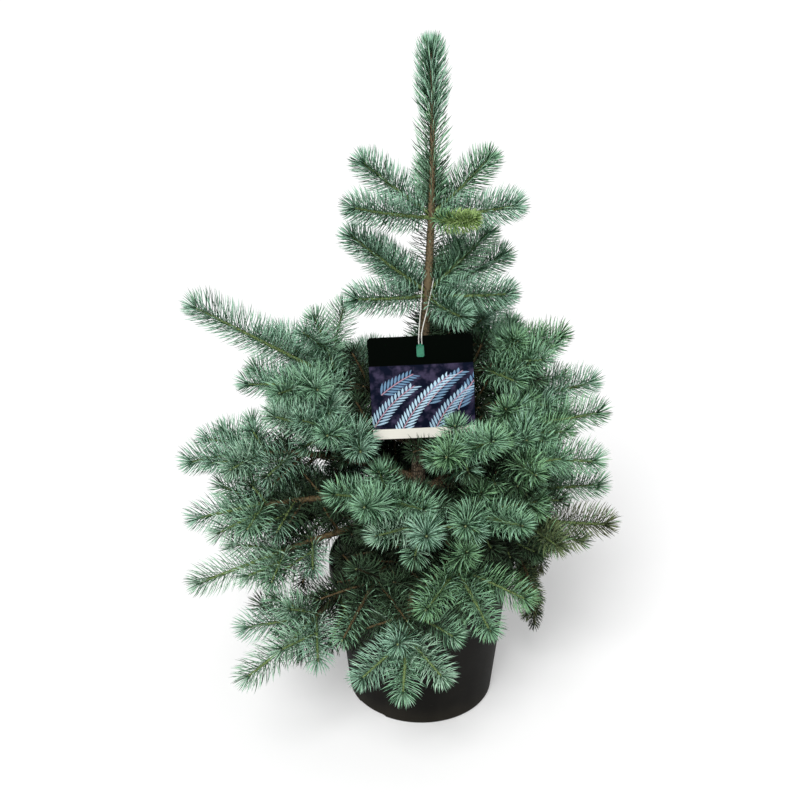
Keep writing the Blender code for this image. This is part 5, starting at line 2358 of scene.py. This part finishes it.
    def build_string(self) -> None:
        """Makes the loop of two-ply twine, each ply a thin tube that winds round the other."""
        points = self.string_path()
        path = smooth_path([*points, points[0]], self.ply_pitch / 8)
        _, x, y = frames_along(path)
        arrays, ply = Arrays(), self.string_radius * self.ply_share
        for phase in (0.0, math.pi):
            turn = (run_along(path) / self.ply_pitch * math.tau + phase)[:, None]
            strand = path + (x * np.cos(turn) + y * np.sin(turn)) * ply
            Twigs().tube(strand, np.full(len(strand), ply), 0, arrays, 6)
        add_piece("string_loop", arrays.mesh("string_loop", [TWINE]), ["tag_string"])

    def build(self) -> None:
        """Makes the card, the seal and the loop."""
        self.build_card()
        self.build_seal()
        self.build_string()


# ---- studio


@dataclass
class Studio:
    """Pale floor, soft light and the camera."""

    floor_size: float = 40.0
    camera_place: Size = (-0.0245, -1.3, 0.98)
    camera_down: float = 25.1
    lens: float = 59.625
    sky: Colour = (1.0, 1.0, 1.0)
    sky_strength: float = 0.12
    lamps: tuple[tuple[str, Size, float, float], ...] = (
        ("key", (44, 0, -16), 3.70, 28), ("fill", (58, 0, 48), 0.24, 60),
        ("top", (6, 0, 0), 0.50, 50),
    )

    def build(self) -> None:
        """Makes the floor, the lights and the camera."""
        bm = bmesh.new()
        bmesh.ops.create_grid(bm, x_segments=1, y_segments=1, size=self.floor_size / 2)
        floor = linked("floor", mesh_from(bm, "floor", FloorFinish()))
        floor.data.transform(Matrix.Translation((0, 0, -CLEARANCE)))
        self.light()
        self.camera()

    def light(self) -> None:
        """Lights the set: a soft even sky, a soft key from the front left and a fill."""
        world = bpy.data.worlds.new("studio")
        bpy.context.scene.world = world
        world.use_nodes = True
        background = world.node_tree.nodes["Background"]
        background.inputs["Color"].default_value = (*self.sky, 1)
        background.inputs["Strength"].default_value = self.sky_strength
        for name, turn, energy, width in self.lamps:
            lamp = bpy.data.lights.new(name, "SUN")
            lamp.energy, lamp.angle = energy, math.radians(width)
            linked(name, lamp).rotation_euler = [math.radians(a) for a in turn]

    def camera(self) -> None:
        """Sets the camera, level across and looking down on the plant."""
        lens = bpy.data.cameras.new("camera")
        lens.lens, lens.sensor_width = self.lens, 36.0
        made = linked("camera", lens)
        made.location = self.camera_place
        made.rotation_euler = (math.radians(90 - self.camera_down), 0, 0)
        bpy.context.scene.camera = made
        bpy.context.scene.view_settings.view_transform = "Standard"


def main() -> None:
    """Builds every sub-assembly in order."""
    logging.basicConfig(level=logging.INFO, format="%(name)s: %(message)s")
    trunk, pot = Trunk(), Pot()
    pot.build()
    Soil(pot).build()
    trunk.build()
    Crown(trunk).build()
    HangTag(trunk).build()
    Studio().build()


if __name__ == "__main__":
    main()
